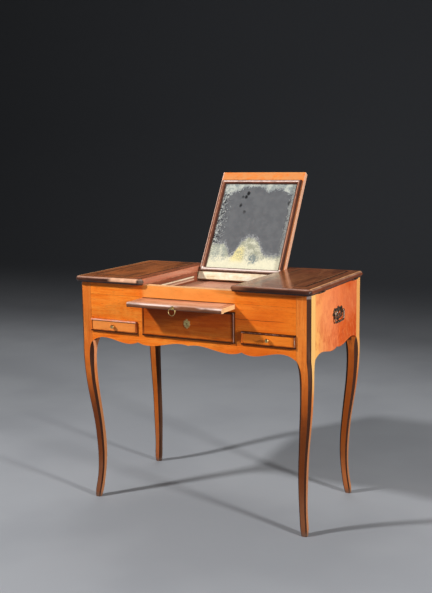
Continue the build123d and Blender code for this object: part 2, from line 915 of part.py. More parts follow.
def turned_knob(x, field):
    """A small turned knob with its pin let into the drawer front."""
    start = (x, field, knob_height)
    head = rod(
        (x, field - knob_length + knob_thickness, knob_height),
        (0, -1, 0),
        knob_radius,
        knob_thickness,
    )
    knob = fillet(head.edges(), knob_round)
    knob += rod(start, (0, -1, 0), knob_neck_radius, knob_length - knob_thickness)
    knob += rod(start, (0, -1, 0), knob_collar_radius, knob_collar_thickness)
    knob += rod(start, (0, 1, 0), knob_neck_radius, knob_pin_length)
    return knob


small_x = (partition_outer + drawer_gap, post_inner_x - drawer_gap)
left_x = (-small_x[1], -small_x[0])
small_z = (apron_top + drawer_gap, small_opening_top - drawer_gap)
small_wall_z = (small_z[0], small_z[1] - small_wall_below_top)
centre_x = (-centre_half + drawer_gap, centre_half - drawer_gap)
centre_z = (apron_top + drawer_gap, centre_opening_top - drawer_gap)
centre_wall_z = (centre_z[0], centre_z[1] - centre_wall_below_top)

centre_front = drawer_front(*centre_x, centre_drawer_face, *centre_z)
centre_walls = drawer_walls(*centre_x, centre_drawer_face, *centre_wall_z, centre_wall)
centre_bottom = drawer_bottom(*centre_x, centre_drawer_face, centre_z[0], centre_wall)

left_front = drawer_front(*left_x, left_drawer_face, *small_z)
left_walls = drawer_walls(*left_x, left_drawer_face, *small_wall_z, small_wall)
left_bottom = drawer_bottom(*left_x, left_drawer_face, small_z[0], small_wall)
left_knob = turned_knob(-knob_x, left_drawer_face + bead_height)
left_front -= left_knob

right_front = drawer_front(*small_x, right_drawer_face, *small_z)
right_walls = drawer_walls(*small_x, right_drawer_face, *small_wall_z, small_wall)
right_bottom = drawer_bottom(*small_x, right_drawer_face, small_z[0], small_wall)
right_knob = turned_knob(knob_x, right_drawer_face + bead_height)
right_front -= right_knob

keyhole = Circle(keyhole_radius)
keyhole += Pos(0, -keyhole_slot_drop / 2) * Rectangle(keyhole_slot_width, keyhole_slot_drop)
field_plane = Plane(
    (0, centre_drawer_face + bead_height, escutcheon_height), x_dir=(1, 0, 0), z_dir=(0, -1, 0)
)
escutcheon = extrude(field_plane * (lobed(escutcheon_lobes) - keyhole), escutcheon_thickness)
centre_front -= extrude(field_plane * keyhole, -drawer_front_thickness)
lock_front = centre_drawer_face + drawer_front_thickness
lock_middle = escutcheon_height - lock_drop
drawer_lock = slab(
    -lock_width / 2,
    lock_width / 2,
    lock_front,
    lock_front + lock_thickness,
    lock_middle - lock_height / 2,
    lock_middle + lock_height / 2,
)

# ---- Bail handles ------------------------------------------------------------------------
plate_plane = Plane(
    (half_width, handle_behind_middle, handle_height - plate_below_bolts),
    x_dir=(0, 1, 0),
    z_dir=(1, 0, 0),
)
handle_plate = extrude(plate_plane * (lobed(plate_lobes) - lobed(plate_piercings)), plate_thickness)


def handle_bolt(y):
    """A bolt through the plate, with a rounded head bored for the bail."""
    start = (half_width - side_board / 2, y, handle_height)
    head = rod(
        (bolt_head_x - handle_head_half_length, y, handle_height),
        (1, 0, 0),
        handle_head_radius,
        2 * handle_head_half_length,
    )
    head = fillet(head.edges().sort_by(Axis.X)[-1], handle_head_round)
    bore = rod(
        (bolt_head_x, y - handle_head_radius, handle_height),
        (0, 1, 0),
        bail_radius + bail_clearance,
        2 * handle_head_radius,
    )
    return rod(start, (1, 0, 0), handle_bolt_radius, side_board / 2 + handle_reach) + head - bore


def bail():
    """The right bail: its turned-in ends lie in the bolts' heads, its grip is beaded."""
    end = handle_bolt_spread - handle_head_radius - bail_end_past_head
    grip_height = handle_height - bail_drop
    outline = (
        (-end, handle_height),
        (-bail_half_width, handle_height),
        (-bail_half_width, grip_height),
        (bail_half_width, grip_height),
        (bail_half_width, handle_height),
        (end, handle_height),
    )
    line = FilletPolyline(
        *[(bolt_head_x, handle_behind_middle + y, z) for y, z in outline],
        radius=(bail_end_bend, bail_bend, bail_bend, bail_end_bend),
    )
    shape = sweep(Plane(line @ 0, z_dir=line % 0) * Circle(bail_radius), path=line)
    for along, radius in bail_beads:
        shape += Pos(bolt_head_x, handle_behind_middle + along, grip_height) * Sphere(radius)
    return shape


handle_bolts = [
    handle_bolt(handle_behind_middle + side * handle_bolt_spread) for side in (-1, 1)
]
right_bail = bail()
handle_plate -= handle_bolts
right_side -= handle_bolts

# ---- Legs take the boards' tongues, then everything is written ------------------------------
left_side = mirrored(right_side)
left_flank = mirrored(right_flank)
tongued_boards = [top_rail, apron, back_panel, right_side, left_side, right_flank, left_flank]
for side_name, side in (("left", -1), ("right", 1)):
    for end_name, end in (("front", -1), ("rear", 1)):
        save(f"{end_name}_{side_name}_leg", placed_leg(side, end) - tongued_boards)

save("front_top_rail", top_rail)
save("left_front_flank", left_flank)
save("right_front_flank", right_flank)
save("slide_rail", slide_rail)
save("front_apron", apron)
save("back_panel", back_panel)
save("left_side_panel", left_side)
save("right_side_panel", right_side)
save("bottom_board", bottom_board)
save("left_partition", mirrored(right_partition))
save("right_partition", right_partition)
save("well_floors", *both_sides([right_well_floor]))
save("recess_floor", recess_floor)
save("recess_back", recess_back)
save("recess_ledges", *both_sides([right_ledge]))
save("slide_runners", *both_sides([right_slide_runner]))
save("drawer_guides", *both_sides([right_drawer_guide]))
save("rear_top_strip", rear_strip)
save("pivot_brackets", *both_sides([right_bracket]))
save("case_screws", *both_sides(case_hinge_screws + bracket_screws))
save("lid_hinge_case_leaves", *both_sides(case_leaves))
save("lid_hinge_pins", *both_sides(hinge_pins))
save("handle_plates", *both_sides([handle_plate]))
save("handle_bolts", *both_sides(handle_bolts))

save("left_lid_board", mirrored(right_lid))
save("left_lid_nosing", mirrored(right_nosing))
save("left_lid_hinge_leaves", *[mirrored(leaf) for leaf in lid_leaves])
save("left_lid_screws", *[mirrored(screw) for screw in lid_hinge_screws])
save("right_lid_board", right_lid)
save("right_lid_nosing", right_nosing)
save("right_lid_hinge_leaves", *lid_leaves)
save("right_lid_screws", *lid_hinge_screws)

save("mirror_panel", stood_up(mirror_panel))
save("mirror_glass", stood_up(glass))
save("mirror_mouldings", *[stood_up(rail) for rail in mouldings])
save("mirror_pivot_pins", *[stood_up(pin) for pin in pivot_pins])

save("slide_board", slide_board)
save("slide_end_clamps", *both_sides([right_clamp]))
save("slide_nosing", slide_nosing)
save("slide_pull_boss", pull_boss)
save("slide_pull_ring", pull_ring)

save("centre_drawer_front", centre_front)
save("centre_drawer_walls", *centre_walls)
save("centre_drawer_bottom", centre_bottom)
save("centre_drawer_escutcheon", escutcheon)
save("centre_drawer_lock", drawer_lock)
save("left_drawer_front", left_front)
save("left_drawer_walls", *left_walls)
save("left_drawer_bottom", left_bottom)
save("left_drawer_knob", left_knob)
save("right_drawer_front", right_front)
save("right_drawer_walls", *right_walls)
save("right_drawer_bottom", right_bottom)
save("right_drawer_knob", right_knob)

save("left_bail", mirrored(right_bail))
save("right_bail", right_bail)
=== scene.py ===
import math

import bmesh
import bpy
from mathutils import Matrix, Vector


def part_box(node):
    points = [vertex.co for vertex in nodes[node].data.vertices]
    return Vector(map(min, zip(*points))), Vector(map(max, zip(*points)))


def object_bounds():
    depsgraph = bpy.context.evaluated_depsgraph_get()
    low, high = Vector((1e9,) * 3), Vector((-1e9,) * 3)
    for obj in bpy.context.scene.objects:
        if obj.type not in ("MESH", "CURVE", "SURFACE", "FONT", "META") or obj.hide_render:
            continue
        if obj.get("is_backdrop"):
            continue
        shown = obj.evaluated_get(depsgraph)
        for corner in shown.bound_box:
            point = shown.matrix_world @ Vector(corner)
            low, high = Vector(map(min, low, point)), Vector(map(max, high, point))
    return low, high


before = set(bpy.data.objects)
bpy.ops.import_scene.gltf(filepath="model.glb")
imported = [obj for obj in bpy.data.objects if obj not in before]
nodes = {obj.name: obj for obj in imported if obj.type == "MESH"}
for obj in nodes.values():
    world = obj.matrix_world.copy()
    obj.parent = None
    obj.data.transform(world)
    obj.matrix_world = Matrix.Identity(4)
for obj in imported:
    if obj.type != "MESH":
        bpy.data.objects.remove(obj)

cad_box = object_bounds()

# ---------------------------------------------------------------- finishes

# A Mix node's colour sockets go by number, because its other kinds of socket have the same names.
MIX_SHARE, MIX_FIRST, MIX_SECOND, MIX_RESULT = 0, 6, 7, 2


class Value:
    """A number or colour that changes over a surface. Sums are written as plain expressions."""

    def __init__(self, finish, socket):
        self.finish = finish
        self.socket = socket

    def sum(self, operation, *terms):
        """One step of arithmetic, as a Math node."""
        return self.finish.node("ShaderNodeMath", {"operation": operation}, dict(enumerate(terms)))

    def __add__(self, other):
        return self.sum("ADD", self, other)

    def __radd__(self, other):
        return self.sum("ADD", other, self)

    def __sub__(self, other):
        return self.sum("SUBTRACT", self, other)

    def __rsub__(self, other):
        return self.sum("SUBTRACT", other, self)

    def __mul__(self, other):
        return self.sum("MULTIPLY", self, other)

    def __rmul__(self, other):
        return self.sum("MULTIPLY", other, self)

    def __truediv__(self, other):
        return self.sum("DIVIDE", self, other)

    def least(self, other):
        return self.sum("MINIMUM", self, other)

    def most(self, other):
        return self.sum("MAXIMUM", self, other)

    def size(self):
        return self.sum("ABSOLUTE", self)

    def rise(self, low, high):
        """0 below low, 1 above high, and a soft step between."""
        return self.finish.node(
            "ShaderNodeMapRange",
            {"interpolation_type": "SMOOTHSTEP"},
            {"Value": self, "From Min": low, "From Max": high},
        )

    def near(self, middle, half_width, softness):
        """1 within half a width of a middle value, and 0 away from it."""
        return 1 - (self - middle).size().rise(half_width, half_width + softness)


class Finish:
    """A surface finish, put together step by step: its colour, roughness, metal share and relief."""

    def __init__(self, name, **constants):
        self.material = bpy.data.materials.new(name)
        self.material.use_nodes = True
        self.tree = self.material.node_tree
        self.tree.nodes.clear()
        self.shader = self.tree.nodes.new("ShaderNodeBsdfPrincipled")
        output = self.tree.nodes.new("ShaderNodeOutputMaterial")
        self.tree.links.new(self.shader.outputs["BSDF"], output.inputs["Surface"])
        for words, number in constants.items():
            self.shader.inputs[words.replace("_", " ")].default_value = number
        self.place = self.node("ShaderNodeTexCoord", output="Object")
        self.colour = None
        self.rough = None
        self.height = None
        self.metal = None

    def node(self, kind, settings=None, values=None, output=0):
        """Adds a node: its settings first, then the values or links of its sockets."""
        made = self.tree.nodes.new(kind)
        for name, setting in (settings or {}).items():
            if name == "stops":
                self.set_stops(made.color_ramp, setting)
            else:
                setattr(made, name, setting)
        for name, value in (values or {}).items():
            socket = made.inputs[name]
            if isinstance(value, Value):
                self.tree.links.new(value.socket, socket)
            elif socket.type == "RGBA" and len(value) == 3:
                socket.default_value = (*value, 1.0)
            else:
                socket.default_value = value
        return Value(self, made.outputs[output])

    @staticmethod
    def set_stops(ramp, stops):
        while len(ramp.elements) < len(stops):
            ramp.elements.new(1.0)
        for element, (position, colour) in zip(ramp.elements, stops):
            element.position = position
            element.color = (*colour, 1.0)

    def axes(self, place=None):
        """The three coordinates of a place, as separate values."""
        vector = {"Vector": place or self.place}
        return [self.node("ShaderNodeSeparateXYZ", None, vector, output=axis) for axis in range(3)]

    def moved(self, stretch, shift=(0, 0, 0), turn=(0, 0, 0), place=None):
        """A place turned, stretched and shifted, for a pattern that runs one way."""
        values = {"Vector": place or self.place, "Location": shift, "Rotation": turn, "Scale": stretch}
        return self.node("ShaderNodeMapping", None, values)

    def noise(self, place, scale, detail=2.0, roughness=0.5, distortion=0.0):
        values = {
            "Vector": place,
            "Scale": scale,
            "Detail": detail,
            "Roughness": roughness,
            "Distortion": distortion,
        }
        return self.node("ShaderNodeTexNoise", None, values)

    def cells(self, place, scale):
        """How far each point is from the nearest of many scattered points."""
        values = {"Vector": place, "Scale": scale}
        return self.node("ShaderNodeTexVoronoi", None, values, output="Distance")

    def ramp(self, value, stops):
        return self.node("ShaderNodeValToRGB", {"stops": stops}, {"Fac": value})

    def mix(self, first, second, share):
        """Two colours mixed: the second lies over the first by its share."""
        values = {MIX_SHARE: share, MIX_FIRST: first, MIX_SECOND: second}
        return self.node("ShaderNodeMix", {"data_type": "RGBA"}, values, output=MIX_RESULT)

    def level(self, numbers, value):
        """A number that follows a line of (position, number) stops along a value."""
        return self.ramp(value, [(position, (number,) * 3) for position, number in numbers])

    def lay(self, colour, share):
        """Lays a colour over what is there, by its share."""
        self.colour = self.mix(self.colour, colour, share)

    def normal(self):
        """The direction that a surface faces."""
        return self.node("ShaderNodeNewGeometry", output="Normal")

    def facing(self):
        """How far a surface faces along each axis."""
        return self.axes(self.normal())

    def worn_corners(self, radius):
        """0 on flat ground, rising at the corners of a piece."""
        rounded = self.node("ShaderNodeBevel", {"samples": 4}, {"Radius": radius})
        settings = {"operation": "DOT_PRODUCT"}
        directions = {0: rounded, 1: self.normal()}
        alike = self.node("ShaderNodeVectorMath", settings, directions, output="Value")
        return 1 - alike

    def close(self, depth=0.0004):
        """Joins everything to the shader and gives the finished material."""
        for name, value in (
            ("Base Color", self.colour),
            ("Roughness", self.rough),
            ("Metallic", self.metal),
        ):
            if value is not None:
                self.tree.links.new(value.socket, self.shader.inputs[name])
        if self.height is not None:
            relief = self.node("ShaderNodeBump", None, {"Height": self.height, "Distance": depth})
            self.tree.links.new(relief.socket, self.shader.inputs["Normal"])
        return self.material


def give(material, *names):
    """Puts a finish on CAD pieces."""
    for name in names:
        nodes[name].data.materials.clear()
        nodes[name].data.materials.append(material)


def gaps_to_box(finish, name):
    """How far each point is from the nearer side of a piece's box, along x, y and z."""
    low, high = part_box(name)
    return [
        (axis - low[i]).least(high[i] - axis)
        for i, axis in enumerate(finish.axes())
    ]


def edge_distance(finish, name):
    """How far each point of a board is from the nearest edge of the face that it is on."""
    x, y, z = gaps_to_box(finish, name)
    return x.least(y).most(x.most(y).least(z))


# ---------------------------------------------------------------- timbers

# Each timber: its light, middle and dark grain, the tint of its broad clouds, and its gloss.
fruitwood = dict(
    light=(0.98, 0.33, 0.045),
    middle=(0.90, 0.205, 0.014),
    dark=(0.62, 0.105, 0.006),
    cloud=(0.82, 0.135, 0.008),
    pores=(0.30, 0.050, 0.005),
    gloss=0.40,
)
drawer_fruitwood = dict(
    fruitwood,
    light=(0.90, 0.27, 0.032),
    middle=(0.72, 0.150, 0.009),
    dark=(0.44, 0.066, 0.003),
    cloud=(0.62, 0.095, 0.004),
)
side_fruitwood = dict(
    fruitwood,
    light=(0.98, 0.37, 0.090),
    middle=(0.92, 0.22, 0.045),
    dark=(0.64, 0.10, 0.014),
    cloud=(0.84, 0.13, 0.020),
)
leg_fruitwood = dict(
    fruitwood,
    light=(0.92, 0.31, 0.055),
    middle=(0.76, 0.19, 0.022),
    dark=(0.46, 0.085, 0.008),
    cloud=(0.60, 0.12, 0.012),
)
lid_wood = dict(
    light=(0.44, 0.160, 0.058),
    middle=(0.24, 0.075, 0.024),
    dark=(0.105, 0.028, 0.010),
    cloud=(0.30, 0.080, 0.028),
    pores=(0.045, 0.012, 0.006),
    gloss=0.15,
)
stained_wood = dict(
    light=(0.105, 0.036, 0.020),
    middle=(0.034, 0.0115, 0.0070),
    dark=(0.010, 0.0045, 0.0038),
    cloud=(0.060, 0.018, 0.011),
    pores=(0.006, 0.003, 0.003),
    gloss=0.30,
)
moulding_wood = dict(
    stained_wood,
    light=(0.38, 0.130, 0.062),
    middle=(0.20, 0.062, 0.032),
    dark=(0.06, 0.020, 0.013),
)
slide_timber = dict(
    light=(0.80, 0.40, 0.20),
    middle=(0.60, 0.235, 0.105),
    dark=(0.33, 0.100, 0.042),
    cloud=(0.64, 0.28, 0.16),
    pores=(0.20, 0.060, 0.028),
    gloss=0.40,
)
bare_wood = dict(
    light=(0.66, 0.43, 0.22),
    middle=(0.52, 0.315, 0.15),
    dark=(0.33, 0.175, 0.075),
    cloud=(0.42, 0.24, 0.11),
    pores=(0.20, 0.10, 0.045),
    gloss=0.62,
)
recess_wood = dict(
    light=(0.72, 0.38, 0.23),
    middle=(0.56, 0.25, 0.145),
    dark=(0.34, 0.115, 0.062),
    cloud=(0.62, 0.26, 0.17),
    pores=(0.22, 0.08, 0.05),
    gloss=0.40,
)
partition_wood = dict(
    light=(0.44, 0.150, 0.070),
    middle=(0.28, 0.078, 0.034),
    dark=(0.14, 0.034, 0.015),
    cloud=(0.34, 0.090, 0.045),
    pores=(0.08, 0.022, 0.010),
    gloss=0.36,
)
cream_wood = dict(
    light=(0.95, 0.88, 0.70),
    middle=(0.86, 0.75, 0.53),
    dark=(0.64, 0.48, 0.28),
    cloud=(0.80, 0.70, 0.50),
    pores=(0.44, 0.31, 0.17),
    gloss=0.50,
)

ALONG_X, ALONG_Y, ALONG_Z = 0, 1, 2
GRIME = (0.075, 0.016, 0.005)
BLACK_STAIN = (0.006, 0.003, 0.002)


def drawn_out(along, amount):
    """The stretch that draws a pattern out along the grain."""
    return tuple(amount if axis == along else 1.0 for axis in range(3))


def grain(finish, kind):
    """A timber's own colours over the grain that a finish already has."""
    stops = [(0.31, kind["dark"]), (0.48, kind["middle"]), (0.67, kind["light"])]
    return finish.ramp(finish.tone, stops)


def timber(name, kind, along, seed, turn=(0, 0, 0), bands=0.5, **constants):
    """A polished board: long fibres, broader bands, soft clouds and fine open pores.

    The seed says which part of the tree it comes from, so that no two boards match by chance.
    """
    finish = Finish(name, Specular_IOR_Level=0.22, **constants)
    shift = (seed * 1.37, seed * 0.73, seed * 1.91)
    straight = finish.moved((1, 1, 1), turn=turn)

    def pattern(fineness, stretch, detail, roughness=0.5, distortion=0.0):
        place = finish.moved(drawn_out(along, stretch), shift, place=straight)
        return finish.noise(place, fineness, detail, roughness, distortion)

    fibres = pattern(fineness=420, stretch=0.035, detail=4, roughness=0.6)
    ribbons = pattern(fineness=85, stretch=0.07, detail=4, roughness=0.62, distortion=0.35)
    clouds = pattern(fineness=11, stretch=0.40, detail=3)
    mottle = pattern(fineness=46, stretch=0.8, detail=3, roughness=0.6)
    pores = pattern(fineness=1300, stretch=0.05, detail=1)
    finish.tone = fibres * (1 - bands) * 0.85 + ribbons * bands + mottle * (1 - bands) * 0.15
    finish.colour = grain(finish, kind)
    finish.lay(kind["cloud"], clouds.rise(0.42, 0.66) * 0.7)
    finish.lay(kind["light"], (1 - clouds.rise(0.34, 0.46)) * mottle.rise(0.4, 0.65) * 0.4)
    open_pores = pores.rise(0.60, 0.70)
    finish.lay(kind["pores"], open_pores * 0.45)
    handling = finish.noise(finish.place, 28, 3, 0.6)
    finish.rough = kind["gloss"] - 0.07 + 0.12 * handling + 0.10 * fibres
    finish.height = 0.5 * fibres + 0.3 * ribbons - 0.5 * open_pores
    finish.fibres, finish.ribbons, finish.clouds, finish.mottle = fibres, ribbons, clouds, mottle
    return finish


def uneven(finish, scale, low, high, detail=4, stretch=(1, 1, 1)):
    """Soft-edged patches from 0 to 1, for wear and dirt that come and go."""
    return finish.noise(finish.moved(stretch), scale, detail, 0.65).rise(low, high)


def grimy_joints(finish, name, width, colour, share):
    """A thin dark line of old polish and dust where a board meets its neighbours."""
    near = 1 - edge_distance(finish, name).rise(0.0002, width)
    finish.lay(colour, near * (0.25 + 0.75 * uneven(finish, 60, 0.3, 0.6, 3)) * share)


def rubbed_edges(finish, name, colour):
    """Edges rubbed through to lighter wood, unevenly."""
    near = 1 - edge_distance(finish, name).rise(0.0004, 0.003)
    finish.lay(colour, near * uneven(finish, 45, 0.35, 0.65, 3) * 0.8)


def faded(finish, value, low, high, colour, share):
    """A broad change of colour along a value, from nothing at low to its share at high."""
    wander = finish.noise(finish.place, 14, 3, 0.6) - 0.5
    finish.lay(colour, (value + wander * (abs(high - low) * 0.5)).rise(low, high) * share)


# ---------------------------------------------------------------- front, sides and back of the case

# Places are in metres, as in the frame: x to the right, y to the back and z up from the floor.
# The front's veneer runs through from piece to piece, so its pieces share one seed.
FRONT_SEED = 3.0
CRACK_HEIGHT = 0.6225
red_cloud = (0.55, 0.085, 0.004)
red_band = (0.46, 0.062, 0.003)
lit_gold_between_lids = (0.97, 0.48, 0.13)
sunned_red = (0.84, 0.25, 0.035)
pale_arris = (0.98, 0.62, 0.32)
crack_brown = (0.20, 0.03, 0.008)
rubbed_gold = (0.95, 0.46, 0.18)
reveal_shade_brown = (0.035, 0.012, 0.007)
for name in ("front_top_rail", "left_front_flank", "right_front_flank", "slide_rail", "front_apron"):
    front = timber(name, fruitwood, ALONG_X, FRONT_SEED)
    x, _, z = front.axes()
    faded(front, x, 0.02, 0.34, drawer_fruitwood["middle"], 0.42)
    front.lay(red_cloud, front.clouds.rise(0.50, 0.66) * x.rise(0.10, 0.25) * 0.45)
    front.lay(red_band, front.ribbons.rise(0.57, 0.68) * 0.28)
    if name == "front_top_rail":
        between_lids = 1 - x.size().rise(0.14, 0.16)
        less_to_right = 1 - x.rise(-0.05, 0.16) * 0.55
        # Between the lids the rail is painted paler gold: painted light reflected up from the slide, and
        # sheen, with some wear.
        front.lay(lit_gold_between_lids, between_lids * (0.45 + 0.35 * front.mottle) * less_to_right)
        front.lay(sunned_red, between_lids * front.clouds.rise(0.42, 0.60) * 0.40)
        upper_arris = z.rise(0.7012, 0.7026)
        front.lay(pale_arris, upper_arris * between_lids * 0.6)
    if name == "right_front_flank":
        wander = front.noise(front.moved((1, 1, 0.2)), 22, 3, 0.6) - 0.5
        crack = (z + wander * 0.006).near(CRACK_HEIGHT, 0.0004, 0.0006) * (1 - x.rise(0.26, 0.335))
        front.lay(crack_brown, crack * 0.75)
        front.height = front.height - crack * 2
    if name == "front_apron":
        foot = uneven(front, 40, 0.35, 0.6, 3) * front.worn_corners(0.002).rise(0.05, 0.4)
        front.lay(rubbed_gold, foot * 0.45)
        # The arch's reveal, facing down and aside, is darkened: painted shade over a dark stain.
        under = 1 - front.facing()[1].size().rise(0.5, 0.8)
        front.lay(reveal_shade_brown, under * 0.88)
    else:
        grimy_joints(front, name, 0.0014, GRIME, 0.38)
    give(front.close(), name)

# The side panels turn from red at the front, through pink, to gold at the back.
rear_gold = (0.99, 0.50, 0.125)
middle_pink = (0.94, 0.26, 0.105)
front_red = (0.66, 0.078, 0.004)
pale_streak = (0.99, 0.37, 0.14)
dark_blotch = (0.60, 0.075, 0.010)
dark_fleck = (0.46, 0.050, 0.006)
pale_fleck = (0.99, 0.40, 0.15)
pale_blotch = (0.98, 0.38, 0.10)
upper_pink = (0.94, 0.27, 0.105)
side_grime = (0.20, 0.04, 0.01)
back_grime = (0.12, 0.06, 0.03)
for seed, name in enumerate(("left_side_panel", "right_side_panel")):
    side = timber(name, side_fruitwood, ALONG_Z, 11.0 + seed, bands=0.62)
    _, y, z = side.axes()
    streaks = side.noise(side.moved((1, 1, 0.6), (seed, 0, 0)), 40, 5, 0.68, 0.5)
    blotches = side.noise(side.moved((1, 1, 0.7), (seed, 0, 0)), 24, 5, 0.70, 0.3)
    faded(side, y * -1, 0.05, 0.195, rear_gold, 0.92)
    pink_band = (y + 0.07 + (side.clouds - 0.5) * 0.14).near(0.0, 0.05, 0.05)
    side.lay(middle_pink, pink_band * 0.45)
    faded(side, y, -0.06, 0.10, front_red, 0.84)
    side.lay(pale_streak, streaks.rise(0.52, 0.68) * 0.34)
    side.lay(dark_blotch, (1 - blotches.rise(0.38, 0.54)) * 0.52)
    flecks = side.noise(side.moved((1, 1, 0.5), (seed, 0, 0)), 150, 4, 0.72, 0.3)
    side.lay(dark_fleck, flecks.rise(0.54, 0.68) * y.rise(-0.14, -0.02) * 0.42)
    side.lay(pale_fleck, (1 - flecks.rise(0.34, 0.46)) * 0.26)
    side.lay(pale_blotch, blotches.rise(0.56, 0.68) * 0.35)
    under_lid = (0.70 - z + (side.clouds - 0.5) * 0.12).near(0.055, 0.03, 0.05)
    side.lay(upper_pink, under_lid * 0.35)
    grimy_joints(side, name, 0.0025, side_grime, 0.6)
    give(side.close(), name)

back = timber("back_panel", bare_wood, ALONG_X, 14.0, bands=0.7)
grimy_joints(back, "back_panel", 0.006, back_grime, 0.8)
give(back.close(), "back_panel")

# ---------------------------------------------------------------- legs

# A leg is gold on the sides of its post, darker below its knee and dusty at its foot,
# with black chamfers down its corners.
leg_red = (0.42, 0.080, 0.006)
leg_lower_dark = (0.085, 0.018, 0.003)
dusty_foot = (0.40, 0.20, 0.11)
post_gold = (0.99, 0.58, 0.18)
lower_side_brown = (0.46, 0.20, 0.085)
chamfer_black = (0.034, 0.009, 0.003)
chamfer_streak = (0.20, 0.100, 0.065)
chamfer_top = (0.44, 0.33, 0.28)
rear_shade = (0.030, 0.011, 0.005)
inner_shade = (0.035, 0.013, 0.006)
rubbed_arris = (0.98, 0.55, 0.22)
foot_darkening = (0.16, 0.10, 0.07)
post_side = {"front_left_leg": (0.94, 0.36, 0.15), "rear_right_leg": (0.96, 0.45, 0.13)}
for seed, name in enumerate(("front_left_leg", "front_right_leg", "rear_left_leg", "rear_right_leg")):
    leg = timber(name, leg_fruitwood, ALONG_Z, 17.0 + seed)
    x, _, z = leg.axes()
    out_x, out_y, out_z = leg.facing()
    height = z + (leg.mottle - 0.5) * 0.10
    on_front = out_y.size().rise(0.5, 0.9)
    sideways = out_x.size().rise(0.6, 0.9) * (1 - on_front)
    under_case = 1 - height.rise(0.42, 0.52)
    below_knee = 1 - height.rise(0.27, 0.47)
    near_foot = 1 - height.rise(0.04, 0.20)
    lower_darkening = 0.85 if name.startswith("front") else 0.30
    leg.lay(leg_red, on_front * under_case * 0.55)
    leg.lay(leg_lower_dark, on_front * below_knee * lower_darkening)
    leg.lay(dusty_foot, on_front * near_foot * 0.24)
    leg.lay(post_side.get(name, post_gold), sideways * height.rise(0.36, 0.50) * 0.85)
    leg.lay(lower_side_brown, sideways * (1 - height.rise(0.27, 0.44)) * 0.75)
    both = out_x.size().least(out_y.size()) / out_x.size().most(out_y.size())
    slant = both.rise(0.40, 0.70) * (1 - out_z.size().rise(0.8, 0.9))
    streaks = leg.noise(leg.moved((1, 1, 0.10), (seed, 0, 0)), 60, 4, 0.65)
    leg.lay(chamfer_black, slant * 0.97)
    leg.lay(chamfer_streak, slant * streaks.rise(0.54, 0.72) * 0.42)
    post_top = z.rise(0.690, 0.694)
    leg.lay(chamfer_top, slant * post_top * 0.50)
    if name.startswith("rear"):
        # Painted shadow of the side panel across the top of each rear leg's front.
        behind_side = height.rise(0.488, 0.512) * (1 - x.size().rise(0.362, 0.370))
        leg.lay(rear_shade, on_front * behind_side * 0.9)
    if name == "rear_left_leg":
        # Painted shade on the rear left leg's inner side, which the case keeps from the side lamp.
        leg.lay(inner_shade, sideways * out_x.rise(0.5, 0.8) * 0.85)
    leg.rough = leg.rough + slant * 0.25
    arris = leg.worn_corners(0.0016).rise(0.06, 0.25) * uneven(leg, 30, 0.3, 0.6, 3, (1, 1, 0.3))
    leg.lay(rubbed_arris, arris * (1 - slant) * 0.55 * z.rise(0.1, 0.4))
    # Darker at the very foot.
    leg.lay(foot_darkening, (1 - z.rise(0.004, 0.020)) * 0.6)
    give(leg.close(), name)

# ---------------------------------------------------------------- lids

# A lid's edges and its top face, and how far the inlaid string lies from the edges.
lid_outer, lid_inner, lid_front, lid_back, lid_face = 0.392, 0.155, -0.247, 0.200, 0.720
string_in = 0.041
string_further_back = 0.021


def lid_inward(finish):
    """How far a place on a lid is from the lid's nearest edge, as its string counts it."""
    x, y, _ = finish.axes()
    across = (lid_outer - x.size()).least(x.size() - lid_inner)
    return across.least((y - lid_front - string_further_back).least(lid_back - y))


# The left lid is the more faded one. The nosings carry painted highlights, with some wear, on top and along
# their rims, and painted shade underneath.
border_brown = (0.34, 0.105, 0.038)
sunned_lid = (0.64, 0.185, 0.046)
sunned_border = (0.46, 0.125, 0.060)
dark_figure = (0.090, 0.022, 0.007)
pale_figure = (0.58, 0.22, 0.085)
pale_string = (0.64, 0.30, 0.13)
edge_wood = (0.68, 0.27, 0.16)
edge_foot = (0.50, 0.15, 0.08)
knocked_wood = (0.74, 0.40, 0.24)
left_nosing_top_highlight = (0.60, 0.32, 0.22)
lit_worn_nosing = (0.90, 0.50, 0.31)
grey_corner_sheen = (0.20, 0.135, 0.10)
right_nosing_top_highlight = (0.36, 0.15, 0.085)
nosing_by_gap = (0.26, 0.095, 0.045)
nosing_side = (0.24, 0.065, 0.026)
nosing_groove = (0.15, 0.040, 0.020)
nosing_underside_shade = (0.010, 0.004, 0.003)
lit_rubbed_rim = (0.50, 0.27, 0.18)
rim_highlight = (0.93, 0.47, 0.20)
strip_edge = (0.45, 0.18, 0.09)
